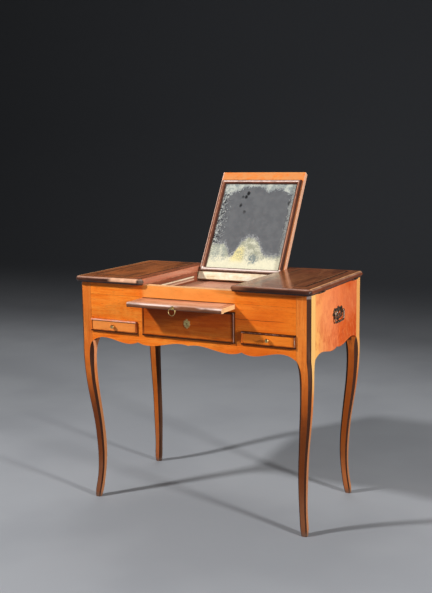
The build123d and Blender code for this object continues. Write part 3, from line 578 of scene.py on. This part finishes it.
for seed, side in enumerate(("left", "right")):
    name = side + "_lid_board"
    lid_polish = dict(Coat_Weight=0.35, Coat_Roughness=0.10)
    lid = timber(name, lid_wood, ALONG_Y, 23.0 + seed, bands=0.62, **lid_polish)
    x, _, z = lid.axes()
    inward = lid_inward(lid)
    on_top = z.rise(lid_face - 0.0012, lid_face - 0.0004)
    border = (1 - inward.rise(string_in - 0.0006, string_in + 0.0006)) * on_top
    lid.lay(border_brown, border * 0.40)
    if side == "left":
        inner_string = lid_inner + string_in
        inner_border = (1 - x.size().rise(inner_string - 0.002, inner_string)) * on_top
        lid.lay(sunned_lid, on_top * (0.35 + 0.50 * lid.clouds.rise(0.4, 0.6)) * 0.80)
        lid.lay(sunned_border, inner_border * (0.35 + 0.4 * lid.ribbons))
    figure = lid.noise(lid.moved((1.0, 0.22, 1.0), (seed, 0, 0), (0, 0, 0.15)), 34, 4, 0.65, 0.6)
    lid.lay(dark_figure, figure.rise(0.53, 0.66) * on_top * 0.58)
    lid.lay(pale_figure, (1 - figure.rise(0.32, 0.44)) * on_top * 0.35)
    string = inward.near(string_in, 0.0028, 0.0012) * on_top
    lid.lay(BLACK_STAIN, string * (0.88 + 0.12 * lid.mottle))
    light_line = inward.near(string_in + 0.0052, 0.0009, 0.0010) * on_top
    lid.lay(pale_string, light_line * uneven(lid, 40, 0.3, 0.6, 3) * 0.75)
    edge_face = (1 - on_top) * (1 - x.size().rise(lid_inner + 0.0002, lid_inner + 0.001))
    lid.lay(edge_wood, edge_face * (0.6 + 0.3 * lid.ribbons))
    lid.lay(edge_foot, edge_face * (1 - z.rise(0.706, 0.710)) * 0.6)
    knocks = lid.noise(lid.place, 70, 5, 0.72).rise(0.66, 0.74) * on_top
    lid.lay(knocked_wood, knocks * 0.45)
    scuffs = lid.noise(lid.moved((1, 0.25, 1), turn=(0, 0, 0.6)), 120, 4, 0.7).rise(0.62, 0.75)
    lid.rough = lid.rough + 0.12 * scuffs + 0.1 * knocks
    give(lid.close(0.0003), name)

    name = side + "_lid_nosing"
    nosing_polish = dict(Coat_Weight=0.45, Coat_Roughness=0.06)
    nosing = timber(name, stained_wood, ALONG_X, 27.0 + seed, **nosing_polish)
    x, y, z = nosing.axes()
    # The upward rounding of each nosing is lightened as a painted highlight, with some wear.
    upward = nosing.facing()[2].rise(0.35, 0.9) * z.rise(0.708, 0.716)
    on_front = 1 - y.rise(-0.236, -0.232)
    patchy = uneven(nosing, 26, 0.35, 0.62)
    if side == "left":
        nosing.lay(left_nosing_top_highlight, upward * (0.35 + 0.5 * patchy))
        # Painted highlight, with some wear, across the front of the left nosing.
        lit_and_worn = x.rise(-0.270, -0.246) * (1 - x.rise(-0.168, -0.160)) * on_front * z.rise(0.707, 0.712)
        nosing.lay(lit_worn_nosing, lit_and_worn * (0.7 + 0.3 * patchy))
        # Painted grey sheen on the inner corner of the left nosing, where it turns differently to the
        # light.
        nosing.lay(grey_corner_sheen, x.rise(-0.162, -0.154) * on_front * (0.4 + 0.5 * nosing.mottle))
    else:
        nosing.lay(right_nosing_top_highlight, upward * on_front * (0.30 + 0.55 * patchy))
        near_gap = (1 - x.rise(0.16, 0.21)) * on_front * z.rise(0.704, 0.712)
        nosing.lay(nosing_by_gap, near_gap * 0.75)
    beside = (1 - on_front) * x.size().rise(0.378, 0.382)
    nosing.lay(nosing_side, beside * (0.70 + 0.2 * patchy))
    groove = z.near(0.7085, 0.0016, 0.002)
    nosing.lay(nosing_groove, beside * groove * 0.7)
    # Painted shade on the nosing's underside, below its rounding.
    underside = 1 - z.rise(0.7050, 0.7075)
    nosing.lay(nosing_underside_shade, underside * 0.9)
    # Painted highlights along the top rims of the side and back nosings, with some wear, brightest along
    # the side crest.
    outer_rim = (x.size() - 0.3845).rise(0.0, 0.002)
    rear_rim = (y - 0.192).rise(0.0, 0.002)
    rim = outer_rim.most(rear_rim) * z.rise(0.7150, 0.7170)
    nosing.lay(lit_rubbed_rim, rim * (1 - on_front) * (0.35 + 0.5 * patchy))
    crest = beside * x.size().near(0.3838, 0.0016, 0.0016) * z.rise(0.7175, 0.7190)
    nosing.lay(rim_highlight, crest * (0.7 + 0.3 * patchy))
    give(nosing.close(), name)

strip = timber("rear_top_strip", lid_wood, ALONG_X, 31.0, bands=0.6)
rubbed_edges(strip, "rear_top_strip", strip_edge)
give(strip.close(), "rear_top_strip")

# ---------------------------------------------------------------- drawers, slide and recess

# Each drawer front has a raised bead all round, with painted shade below and at its right, and painted
# highlights along its crown.
centre_field_shade = (0.26, 0.032, 0.001)
centre_bead_shade = (0.22, 0.045, 0.008)
grey_crown_highlight = (0.48, 0.36, 0.30)
left_gold = (0.98, 0.36, 0.085)
left_bead_highlight = (0.86, 0.52, 0.40)
left_bead_end = (0.30, 0.075, 0.02)
right_orange = (0.92, 0.25, 0.022)
pink_crown_highlight = (0.62, 0.34, 0.26)
cream_crown_highlight = (0.70, 0.60, 0.48)
rubbed_pale = (0.72, 0.52, 0.30)
shaded_bead = (0.016, 0.005, 0.003)
for seed, side in enumerate(("left", "centre", "right")):
    name = side + "_drawer_front"
    front = timber(name, fruitwood if side == "left" else drawer_fruitwood, ALONG_X, 33.0 + seed)
    x, _, z = front.axes()
    low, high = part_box(name)
    gap_x, _, gap_z = gaps_to_box(front, name)
    inward = gap_x.least(gap_z)
    bead = 1 - inward.rise(0.0040, 0.0050)
    patchy = uneven(front, 55, 0.42, 0.66)
    crown = bead * inward.near(0.0021, 0.0007, 0.0009)
    above = (z - (high[2] - 0.0050)).rise(0.0, 0.0006)
    below = 1 - (z - (low[2] + 0.0044)).rise(0.0, 0.0006)
    to_right = (x - (high[0] - 0.0046)).rise(0.0, 0.0006)
    if side == "centre":
        # The slide's shadow is painted over the centre drawer: its field darkens, most towards the top, and
        # its bead is shaded, most along the top.
        upper_half = (z + (front.mottle - 0.5) * 0.03).rise(0.600, 0.640)
        front.lay(centre_field_shade, (1 - bead) * (0.34 + 0.46 * upper_half))
        front.lay(centre_bead_shade, bead * 0.7)
        front.lay(shaded_bead, bead * above * 0.85)
        # Painted highlight on the crown of the right bead, with painted shade beside it.
        front.lay(grey_crown_highlight, to_right * crown * (0.55 + 0.4 * patchy))
        front.lay(shaded_bead, to_right * (1 - crown) * bead * 0.8)
    elif side == "left":
        front.lay(left_gold, (1 - bead) * (0.25 + 0.4 * front.clouds.rise(0.35, 0.6)))
        # Painted highlight on the top bead and painted shade on the right bead.
        front.lay(left_bead_highlight, bead * above * (0.45 + 0.5 * patchy))
        front.lay(left_bead_end, bead * to_right * 0.7)
    else:
        front.lay(right_orange, (1 - bead) * (0.25 + 0.5 * front.clouds.rise(0.35, 0.6)))
        # On the right drawer: painted shade on the top bead under the slide, painted highlights on the
        # crown and painted shade on the right bead.
        front.lay(shaded_bead, bead * above * 0.9)
        left_part = 1 - (x - 0.27).rise(0.0, 0.06)
        front.lay(pink_crown_highlight, above * crown * left_part * patchy * 0.6)
        front.lay(shaded_bead, bead * to_right * 0.7)
        front.lay(cream_crown_highlight, to_right * crown * patchy * 0.5)
    # Painted shade on every bottom bead.
    front.lay(shaded_bead, below * bead * 0.94)
    front.lay(GRIME, inward.near(0.0054, 0.0004, 0.0009) * (0.5 + 0.4 * patchy))
    give(front.close(), name)

for seed, side in enumerate(("left", "centre", "right")):
    walls = timber(side + "_drawer_walls", bare_wood, ALONG_Y, 37.0 + seed)
    rubbed_edges(walls, side + "_drawer_walls", rubbed_pale)
    give(walls.close(), side + "_drawer_walls")
    floor = timber(side + "_drawer_bottom", bare_wood, ALONG_X, 41.0 + seed, bands=0.7)
    give(floor.close(), side + "_drawer_bottom")

# The slide is a board between two end clamps, with a thin dark seam at each one.
slide_wear = (0.84, 0.48, 0.30)
slide_band = (0.30, 0.095, 0.045)
end_grain_gold = (0.93, 0.58, 0.26)
seam_brown = (0.12, 0.045, 0.025)
nosing_brown = (0.30, 0.115, 0.055)
nosing_top = (0.66, 0.36, 0.25)
nosing_shine = (0.95, 0.72, 0.62)
nosing_end = (0.88, 0.55, 0.27)
board = timber("slide_board", slide_timber, ALONG_X, 45.0, bands=0.7)
rubbed = uneven(board, 16, 0.40, 0.66, 4, (0.35, 1, 1))
board.lay(slide_wear, rubbed * 0.45)
board.lay(slide_band, (1 - board.ribbons.rise(0.34, 0.46)) * 0.5)
give(board.close(), "slide_board")
clamps = timber("slide_end_clamps", slide_timber, ALONG_Y, 46.0, bands=0.65)
from_middle = clamps.axes()[0].size()
slide_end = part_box("slide_end_clamps")[1][0]
end_face = from_middle.rise(slide_end - 0.0008, slide_end - 0.0003)
clamps.lay(end_grain_gold, end_face * (0.75 + 0.2 * clamps.ribbons))
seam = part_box("slide_board")[1][0] + 0.0004
clamps.lay(seam_brown, from_middle.near(seam, 0.0004, 0.0006) * 0.8)
give(clamps.close(), "slide_end_clamps")

nosing = timber("slide_nosing", stained_wood, ALONG_X, 47.0)
x = nosing.axes()[0]
out_x, _, out_z = nosing.facing()
patchy = uneven(nosing, 30, 0.30, 0.60, 4, (0.4, 1, 1))
nosing.lay(nosing_brown, 0.35 + 0.4 * patchy)
# Painted highlights on the nosing's top and its rounded front, left off behind the pull.
nosing.lay(nosing_top, out_z.rise(0.62, 0.95) * (0.55 + 0.4 * patchy))
rounded = out_z.rise(-0.05, 0.45) * (1 - out_z.rise(0.75, 0.95))
behind_pull = x.rise(-0.02, 0.03) * (1 - x.rise(0.07, 0.10))
nosing.lay(nosing_shine, rounded * (0.20 + 0.75 * patchy) * (1 - behind_pull))
end_grain = out_x.rise(0.8, 0.95)
nosing.lay(nosing_end, end_grain * 0.85)
give(nosing.close(), "slide_nosing")

recess_wear = (0.80, 0.42, 0.27)
ledge_top = (0.40, 0.13, 0.065)
ledge_shade = (0.34, 0.12, 0.065)
ledge_line = (0.90, 0.60, 0.42)
partition_edge = (0.62, 0.30, 0.16)
floor = timber("recess_floor", recess_wood, ALONG_Y, 48.0)
floor.lay(recess_wear, uneven(floor, 9, 0.4, 0.6, 3) * 0.4)
give(floor.close(), "recess_floor")
recess_end = timber("recess_back", recess_wood, ALONG_X, 49.0)
give(recess_end.close(), "recess_back")
ledges = timber("recess_ledges", cream_wood, ALONG_Y, 50.0)
z = ledges.axes()[2]
low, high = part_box("recess_ledges")
top_face = z.rise(high[2] - 0.0006, high[2] - 0.0002)
lower_part = 1 - z.rise(high[2] - 0.0050, high[2] - 0.0042)
foot_line = z.near(low[2] + 0.0030, 0.0012, 0.001)
ledges.lay(ledge_top, top_face * 0.85)
ledges.lay(ledge_shade, lower_part * 0.85)
ledges.lay(ledge_line, foot_line * 0.6)
give(ledges.close(), "recess_ledges")

for seed, name in enumerate(("bottom_board", "well_floors", "slide_runners", "drawer_guides")):
    hidden = timber(name, bare_wood, ALONG_X if seed < 2 else ALONG_Y, 51.0 + seed, bands=0.65)
    give(hidden.close(), name)
for seed, name in enumerate(("left_partition", "right_partition")):
    wall = timber(name, partition_wood, ALONG_Y, 56.0 + seed)
    rubbed_edges(wall, name, partition_edge)
    ahead = (wall.facing()[1] * -1).rise(0.7, 0.9)
    wall.lay(grain(wall, fruitwood if name.startswith("left") else drawer_fruitwood), ahead)
    give(wall.close(), name)

# ---------------------------------------------------------------- mirror

# The mirror's lean, the size and place of its glass, and where its foot stands in the case.
LEAN = math.radians(30.607)
glass_foot = 0.0185
glass_tall = 0.3105
glass_half = 0.131
frame_half = 0.1513
foot_y, foot_z = 0.1189, 0.6987
slope_start = foot_y * math.sin(LEAN) + foot_z * math.cos(LEAN)


def along_slope(finish):
    """The mirror's own coordinates: across it, out of it, and up its slope from its foot."""
    across, out, up = finish.axes(finish.moved((1, 1, 1), turn=(LEAN, 0, 0)))
    return across, out, up - slope_start


# The panel is browner than the case. Its stiles are darker still, its left edge is rubbed
# pink, and its foot is bare wood.
panel_brown = (0.72, 0.30, 0.105)
left_stile = (0.34, 0.115, 0.050)
right_stile = (0.55, 0.215, 0.090)
rubbed_pink = (0.92, 0.66, 0.56)
panel_side = (0.95, 0.56, 0.38)
foot_stains = (0.60, 0.42, 0.23)
foot_shade = (0.30, 0.15, 0.07)
corner_grime = (0.20, 0.06, 0.02)
outer_warmth = (0.50, 0.145, 0.042)
panel = timber("mirror_panel", fruitwood, ALONG_X, 60.0, turn=(LEAN, 0, 0))
across, out, up = along_slope(panel)
panel.lay(panel_brown, 0.30 + panel.mottle.rise(0.30, 0.60) * 0.55)
glass_head = glass_foot + glass_tall
stile = across.size().rise(0.1382, 0.1390) * (1 - up.rise(glass_head + 0.012, glass_head + 0.014))
on_right = across.rise(-0.01, 0.01)
panel.lay(left_stile, stile * (1 - on_right) * 0.85)
panel.lay(right_stile, stile * on_right * 0.60)
left_arris = (across * -1).rise(frame_half - 0.0034, frame_half - 0.0016)
panel.lay(rubbed_pink, left_arris * (0.55 + 0.4 * panel.mottle))
side_edge = across.size().rise(frame_half - 0.0014, frame_half - 0.0004)
panel.lay(panel_side, side_edge * 0.75)
bare = 1 - up.rise(0.0028, 0.0040)
pale = panel.ramp(
    panel.fibres * 0.5 + panel.mottle * 0.5,
    [(0.32, cream_wood["dark"]), (0.47, cream_wood["middle"]), (0.62, cream_wood["light"])],
)
panel.lay(pale, bare)
panel.lay(foot_stains, bare * uneven(panel, 20, 0.5, 0.72, 4) * 0.4)
# Painted shade along the very foot of the bare wood.
panel.lay(foot_shade, bare * (1 - up.rise(-0.0235, -0.0205)) * 0.6)
panel.lay(corner_grime, panel.worn_corners(0.0015).rise(0.10, 0.4) * (1 - bare) * 0.4)
# The outer face is the middle of the top when the mirror is folded down, so it matches the lids.
corners = [corner.co for corner in nodes["mirror_panel"].data.vertices]
outer_face = max(corner.y * math.cos(LEAN) - corner.z * math.sin(LEAN) for corner in corners)
highest = max(corner.y * math.sin(LEAN) + corner.z * math.cos(LEAN) for corner in corners)
panel_head = highest - slope_start
outside = out.rise(outer_face - 0.0008, outer_face - 0.0003)
panel.lay(grain(panel, lid_wood), outside)
panel.lay(outer_warmth, outside * (0.15 + 0.40 * panel.clouds.rise(0.4, 0.6)))
from_edge = (frame_half - across.size()).least(up.least(panel_head - up))
panel.lay(BLACK_STAIN, outside * from_edge.near(0.030, 0.0028, 0.0012) * 0.9)
give(panel.close(), "mirror_panel")

# The mouldings step from a groove at the glass, over a crest, to a groove at the outside.
# Highlights are painted along the crest, brightest on the level rails.
inner_line = (0.040, 0.016, 0.012)
outer_line = (0.045, 0.018, 0.012)
hollow_brown = (0.10, 0.034, 0.022)
level_crest_highlight = (0.98, 0.76, 0.66)
upright_crest_highlight = (0.60, 0.30, 0.19)
low_rail_pale = (0.52, 0.40, 0.33)
low_rail_crest_highlight = (0.98, 0.86, 0.78)
mouldings = timber("mirror_mouldings", moulding_wood, ALONG_Z, 61.0, turn=(LEAN, 0, 0))
across, _, up = along_slope(mouldings)
past_side = across.size() - glass_half
past_end = (up - glass_foot - glass_tall).most(glass_foot - up)
from_glass = past_side.most(past_end)
on_level = (past_end - past_side).rise(-0.0004, 0.0004)
inner_groove = from_glass.near(0.0012, 0.0008, 0.0010)
crest = from_glass.near(0.0070, 0.0014, 0.0010)
hollow = from_glass.near(0.0100, 0.0010, 0.0010)
outer_groove = from_glass.near(0.0136, 0.0010, 0.0008)
streaky = uneven(mouldings, 70, 0.35, 0.62, 4)
mouldings.lay(inner_line, inner_groove * 0.9)
mouldings.lay(outer_line, outer_groove * 0.85)
mouldings.lay(hollow_brown, hollow * 0.6)
mouldings.lay(level_crest_highlight, crest * on_level * (0.65 + 0.35 * streaky))
mouldings.lay(upright_crest_highlight, crest * (1 - on_level) * (0.25 + 0.55 * streaky))
# The lower rail is paler, with a brighter painted highlight on its crest.
low_rail = 1 - up.rise(glass_foot - 0.001, glass_foot)
mouldings.lay(low_rail_pale, low_rail * (0.35 + 0.35 * streaky) * (1 - outer_groove))
mouldings.lay(low_rail_crest_highlight, low_rail * crest * 0.8)
give(mouldings.close(), "mirror_mouldings")

# Mirror glass: where the silvering has flaked, the dull backing shows, cream at the foot
# and grey-green at the head. Across it and up it, u and v run from 0 to 1.
# Each list gives a level at stops across the glass: how far the cream stain climbs from
# the foot, how far the grey one hangs from the head, and where the black spots gather.
FOOT_STAIN = [
    (0.0, 0.27), (0.10, 0.27), (0.18, 0.28), (0.24, 0.22), (0.28, 0.15), (0.33, 0.14),
    (0.37, 0.22), (0.42, 0.31), (0.50, 0.36), (0.58, 0.36), (0.64, 0.32), (0.69, 0.25),
    (0.74, 0.17), (0.82, 0.15), (0.90, 0.15), (1.0, 0.18),
]
HEAD_STAIN = [
    (0.0, 0.125), (0.10, 0.115), (0.18, 0.08), (0.26, 0.05), (0.33, 0.025), (0.48, 0.02),
    (0.56, 0.045), (0.64, 0.085), (0.72, 0.055), (0.80, 0.05), (0.86, 0.085), (0.93, 0.115),
    (1.0, 0.11),
]
SPOT_CLUSTER = [
    (0.0, 0.0), (0.14, 0.0), (0.24, 1.0), (0.46, 1.0), (0.56, 0.0), (0.88, 0.0), (0.92, 0.6),
    (1.0, 0.6),
]
bright_silver = (0.78, 0.79, 0.81)
dull_silver = (0.66, 0.67, 0.70)
spot_black = (0.03, 0.03, 0.032)
edge_black = (0.05, 0.053, 0.056)
grey_green = (0.52, 0.54, 0.47)
speck_grey = (0.46, 0.48, 0.46)
dark_green = (0.24, 0.26, 0.24)
head_pale = (0.55, 0.57, 0.50)
head_dark = (0.27, 0.30, 0.29)
dull_cream = (0.66, 0.65, 0.50)
olive = (0.38, 0.39, 0.30)
clear_cream = (0.84, 0.80, 0.58)
bright_yellow = (0.84, 0.72, 0.28)
centre_olive = (0.36, 0.36, 0.25)
deep_blue_grey = (0.10, 0.16, 0.20)
left_grey = (0.34, 0.38, 0.34)
crazing_brown = (0.25, 0.26, 0.21)
glass = Finish("old_silvered_glass")
across, _, up = along_slope(glass)
u = (across + glass_half) / (2 * glass_half)
v = (up - glass_foot) / glass_tall
flakes = glass.noise(glass.place, 90, 6, 0.74) - 0.5
fringe = glass.noise(glass.place, 230, 4, 0.7) - 0.5
fine = glass.noise(glass.place, 420, 3, 0.6)
grit = glass.noise(glass.place, 700, 2, 0.6)
lumps = glass.level(FOOT_STAIN, u)
crown = glass.level(HEAD_STAIN, u)
foot_stain = (lumps + flakes * 0.10 + fringe * 0.20 - v).rise(-0.010, 0.012)
halo = (lumps + 0.05 + flakes * 0.14 + fringe * 0.30 - v).rise(0.0, 0.04) * (1 - foot_stain)
head_stain = (crown + flakes * 0.14 + fringe * 0.16 - (1 - v)).rise(-0.008, 0.012)
edge_band = (0.130 + flakes * 0.34 + fringe * 0.20 - u).rise(-0.02, 0.04)
blotchy = flakes * 0.8 + fringe
left_band = edge_band * (blotchy + (0.07 - u) * 1.3).rise(0.05, 0.12)
right_band = (u - 0.955 + flakes * 0.14 + fringe * 0.20).rise(0.0, 0.015) * fine.rise(0.40, 0.52)
patches = glass.noise(glass.place, 42, 5, 0.66)
glass.colour = glass.mix(bright_silver, dull_silver, patches.rise(0.38, 0.62))
cluster = glass.level(SPOT_CLUSTER, u) * v.rise(0.62, 0.70) * (1 - v.rise(0.90, 0.95))
spots = glass.cells(glass.moved((1.0, 1.0, 0.6)), 46)
black = (1 - (spots + fringe * 0.30).rise(0.18, 0.34)) * cluster * patches.rise(0.36, 0.46)
glass.lay(spot_black, black * 0.9)
glass.lay(edge_black, edge_band * (1 - blotchy.rise(-0.09, -0.03)) * 0.9)
glass.lay(grey_green, halo * grit.rise(0.50, 0.58) * 0.75)
speck_cells = glass.cells(glass.place, 150) + fringe * 0.2
specks = (1 - speck_cells.rise(0.10, 0.20)) * patches.rise(0.46, 0.56)
glass.lay(speck_grey, specks * u.rise(0.40, 0.55) * (1 - v.rise(0.50, 0.75)) * 0.55)
pale_flakes = glass.mix(grey_green, dark_green, grit.rise(0.40, 0.58))
glass.lay(pale_flakes, left_band * 0.92)
glass.lay(pale_flakes, right_band * 0.85)
head = glass.mix(head_pale, head_dark, (patches + fringe * 0.8).rise(0.42, 0.62))
glass.lay(head, head_stain)
cream = glass.mix(dull_cream, olive, (patches + flakes * 0.5 + fringe * 0.5).rise(0.40, 0.62))
low_cream = 1 - (v + flakes * 0.16 + fringe * 0.10).rise(0.08, 0.17)
cream = glass.mix(cream, clear_cream, low_cream * 0.85)
yellow = u.near(0.40, 0.05, 0.07) * (v + flakes * 0.1).near(0.17, 0.05, 0.07)
cream = glass.mix(cream, bright_yellow, yellow * (0.5 + 0.5 * fine) * 0.95)
centre_bloom = u.near(0.55, 0.10, 0.10) * v.near(0.25, 0.08, 0.10)
cream = glass.mix(cream, centre_olive, centre_bloom * (patches + fringe * 0.8).rise(0.38, 0.58) * 0.7)
blue_grey = (u + flakes * 0.2).near(0.62, 0.03, 0.06) * (v + flakes * 0.2).near(0.12, 0.025, 0.04)
blue_grit = blue_grey * (grit * 0.6 + fringe + 0.2).rise(0.30, 0.60)
cream = glass.mix(cream, deep_blue_grey, blue_grit * 0.95)
left_bloom = u.near(0.13, 0.06, 0.06) * v.near(0.17, 0.06, 0.06)
cream = glass.mix(cream, left_grey, left_bloom * (patches + fringe * 0.8).rise(0.35, 0.6) * 0.7)
crazing = (fine * 0.5 + fringe * 0.8).rise(0.24, 0.36) * (1 - low_cream * 0.85)
cream = glass.mix(cream, crazing_brown, crazing * 0.62)
glass.lay(cream, foot_stain)
bare_backing = foot_stain.most(head_stain).most(left_band.most(right_band)).most(halo * 0.3)
glass.metal = 0.89 - bare_backing * 0.84
glass.rough = 0.07 + bare_backing * 0.5 + 0.05 * patches
give(glass.close(), "mirror_glass")

# ---------------------------------------------------------------- metalwork


def metal(name, bright, dull, dirt, polish, dirtiness):
    """Old metal: bright where it is handled, dull elsewhere, and dark in scattered patches."""
    finish = Finish(name, Metallic=1.0)
    clouds = finish.noise(finish.place, 120, 4, 0.65)
    fine = finish.noise(finish.place, 900, 3, 0.6)
    finish.colour = finish.mix(bright, dull, clouds.rise(0.35, 0.65))
    finish.lay(dirt, (clouds + fine * 0.4).rise(0.62, 0.85) * dirtiness)
    raised = finish.worn_corners(0.002).rise(0.05, 0.35)
    finish.lay(bright, raised * 0.6)
    finish.rough = polish + 0.25 * clouds + 0.1 * fine - raised * 0.08
    finish.height = clouds * 0.4 + fine * 0.3
    return finish.close(0.0002)


brass = metal(
    "worn_brass",
    bright=(0.96, 0.76, 0.34),
    dull=(0.84, 0.58, 0.22),
    dirt=(0.30, 0.17, 0.06),
    polish=0.22,
    dirtiness=0.35,
)
bronze = metal(
    "aged_bronze",
    bright=(0.62, 0.50, 0.38),
    dull=(0.26, 0.175, 0.11),
    dirt=(0.045, 0.030, 0.020),
    polish=0.26,
    dirtiness=0.8,
)
steel = metal(
    "dulled_steel",
    bright=(0.55, 0.52, 0.48),
    dull=(0.38, 0.35, 0.31),
    dirt=(0.14, 0.09, 0.06),
    polish=0.32,
    dirtiness=0.5,
)
give(brass, "slide_pull_boss", "slide_pull_ring", "left_drawer_knob", "right_drawer_knob")
give(brass, "centre_drawer_escutcheon")
give(bronze, "left_lid_hinge_leaves", "right_lid_hinge_leaves", "lid_hinge_case_leaves")
give(bronze, "lid_hinge_pins", "pivot_brackets")
give(bronze, "handle_plates", "handle_bolts", "left_bail", "right_bail")
give(steel, "case_screws", "left_lid_screws", "right_lid_screws", "mirror_pivot_pins")
give(steel, "centre_drawer_lock")

# ---------------------------------------------------------------- floor, light and camera


def studio_sweep():
    """A pale floor that turns up into a plain wall behind."""
    half_width, wall_distance, cove_radius, wall_height = 6.0, 2.6, 1.4, 4.0
    floor_level = -0.0004
    sweep = bmesh.new()
    edge = [sweep.verts.new((side, -half_width, floor_level)) for side in (-half_width, half_width)]
    sweep.edges.new(edge)
    pushed = bmesh.ops.extrude_edge_only(sweep, edges=sweep.edges[:])
    moved = [v for v in pushed["geom"] if isinstance(v, bmesh.types.BMVert)]
    bmesh.ops.translate(sweep, verts=moved, vec=(0, half_width + wall_distance, 0))
    turned = [e for e in pushed["geom"] if isinstance(e, bmesh.types.BMEdge)]
    centre = (0, wall_distance, cove_radius)
    cove = bmesh.ops.spin(
        sweep, geom=turned, cent=centre, axis=(1, 0, 0), angle=math.pi / 2, steps=24
    )
    last = [e for e in cove["geom_last"] if isinstance(e, bmesh.types.BMEdge)]
    raised = bmesh.ops.extrude_edge_only(sweep, edges=last)
    top = [v for v in raised["geom"] if isinstance(v, bmesh.types.BMVert)]
    bmesh.ops.translate(sweep, verts=top, vec=(0, 0, wall_height))
    mesh = bpy.data.meshes.new("studio_sweep")
    sweep.to_mesh(mesh)
    sweep.free()
    for face in mesh.polygons:
        face.use_smooth = True
    made = bpy.data.objects.new("studio_sweep", mesh)
    bpy.context.scene.collection.objects.link(made)
    return made


paper = Finish("pale_paper")
paper_light = (0.31, 0.32, 0.34)
paper_shade = (0.28, 0.29, 0.31)
far_grey = (0.030, 0.032, 0.036)
paper.colour = paper.mix(paper_light, paper_shade, paper.noise(paper.place, 1.5, 3).rise(0.4, 0.6))
_, y, z = paper.axes()
paper.lay(far_grey, (y * 0.45 + z).rise(0.55, 1.75))
paper.rough = 0.85 + 0.1 * paper.noise(paper.place, 40, 2)
sweep = studio_sweep()
sweep.data.materials.append(paper.close())
sweep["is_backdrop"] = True


table_middle = Vector((0.0, 0.0, 0.6))


def soft_lamp(name, place, size, power):
    """A round white lamp aimed at the middle of the dressing table."""
    lamp = bpy.data.lights.new(name, "AREA")
    lamp.shape = "DISK"
    lamp.size = size
    lamp.energy = power
    made = bpy.data.objects.new(name, lamp)
    made.location = place
    made.rotation_mode = "QUATERNION"
    made.rotation_quaternion = (table_middle - Vector(place)).to_track_quat("-Z", "Y")
    bpy.context.scene.collection.objects.link(made)
    return made


key = soft_lamp("key_lamp", (-1.95, -2.2, 2.78), size=0.26, power=126)
key.visible_glossy = False
soft_lamp("side_lamp", (3.0, -1.02, 1.42), size=0.34, power=84)
soft_lamp("top_lamp", (-0.6, 1.2, 3.2), size=1.6, power=22)

world = bpy.data.worlds.new("studio")
bpy.context.scene.world = world
world.use_nodes = True
fill_light = world.node_tree.nodes["Background"]
fill_light.inputs["Color"].default_value = (0.98, 0.99, 1.0, 1.0)
fill_light.inputs["Strength"].default_value = 0.11

camera_place = Vector((1.2696, -2.4678, 1.0859))
yaw, pitch, roll = math.radians(27.707), math.radians(9.055), math.radians(-0.802)
back = Vector((math.sin(yaw) * math.cos(pitch), -math.cos(yaw) * math.cos(pitch), math.sin(pitch)))
right = (-back).cross(Vector((0, 0, 1))).normalized()
up = right.cross(-back)
rolled_right = math.cos(roll) * right + math.sin(roll) * up
rolled_up = math.cos(roll) * up - math.sin(roll) * right
camera = bpy.data.cameras.new("camera")
camera.lens = 54.42
camera.sensor_width = 36.0
camera.clip_start, camera.clip_end = 0.05, 60.0
stand = bpy.data.objects.new("camera", camera)
turned = Matrix((rolled_right, rolled_up, back)).transposed().to_4x4()
stand.matrix_world = Matrix.Translation(camera_place) @ turned
bpy.context.scene.collection.objects.link(stand)
bpy.context.scene.camera = stand

bpy.context.scene.view_settings.view_transform = "Standard"

both = {"cad": [list(corner) for corner in cad_box], "visual": [list(corner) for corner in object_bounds()]}
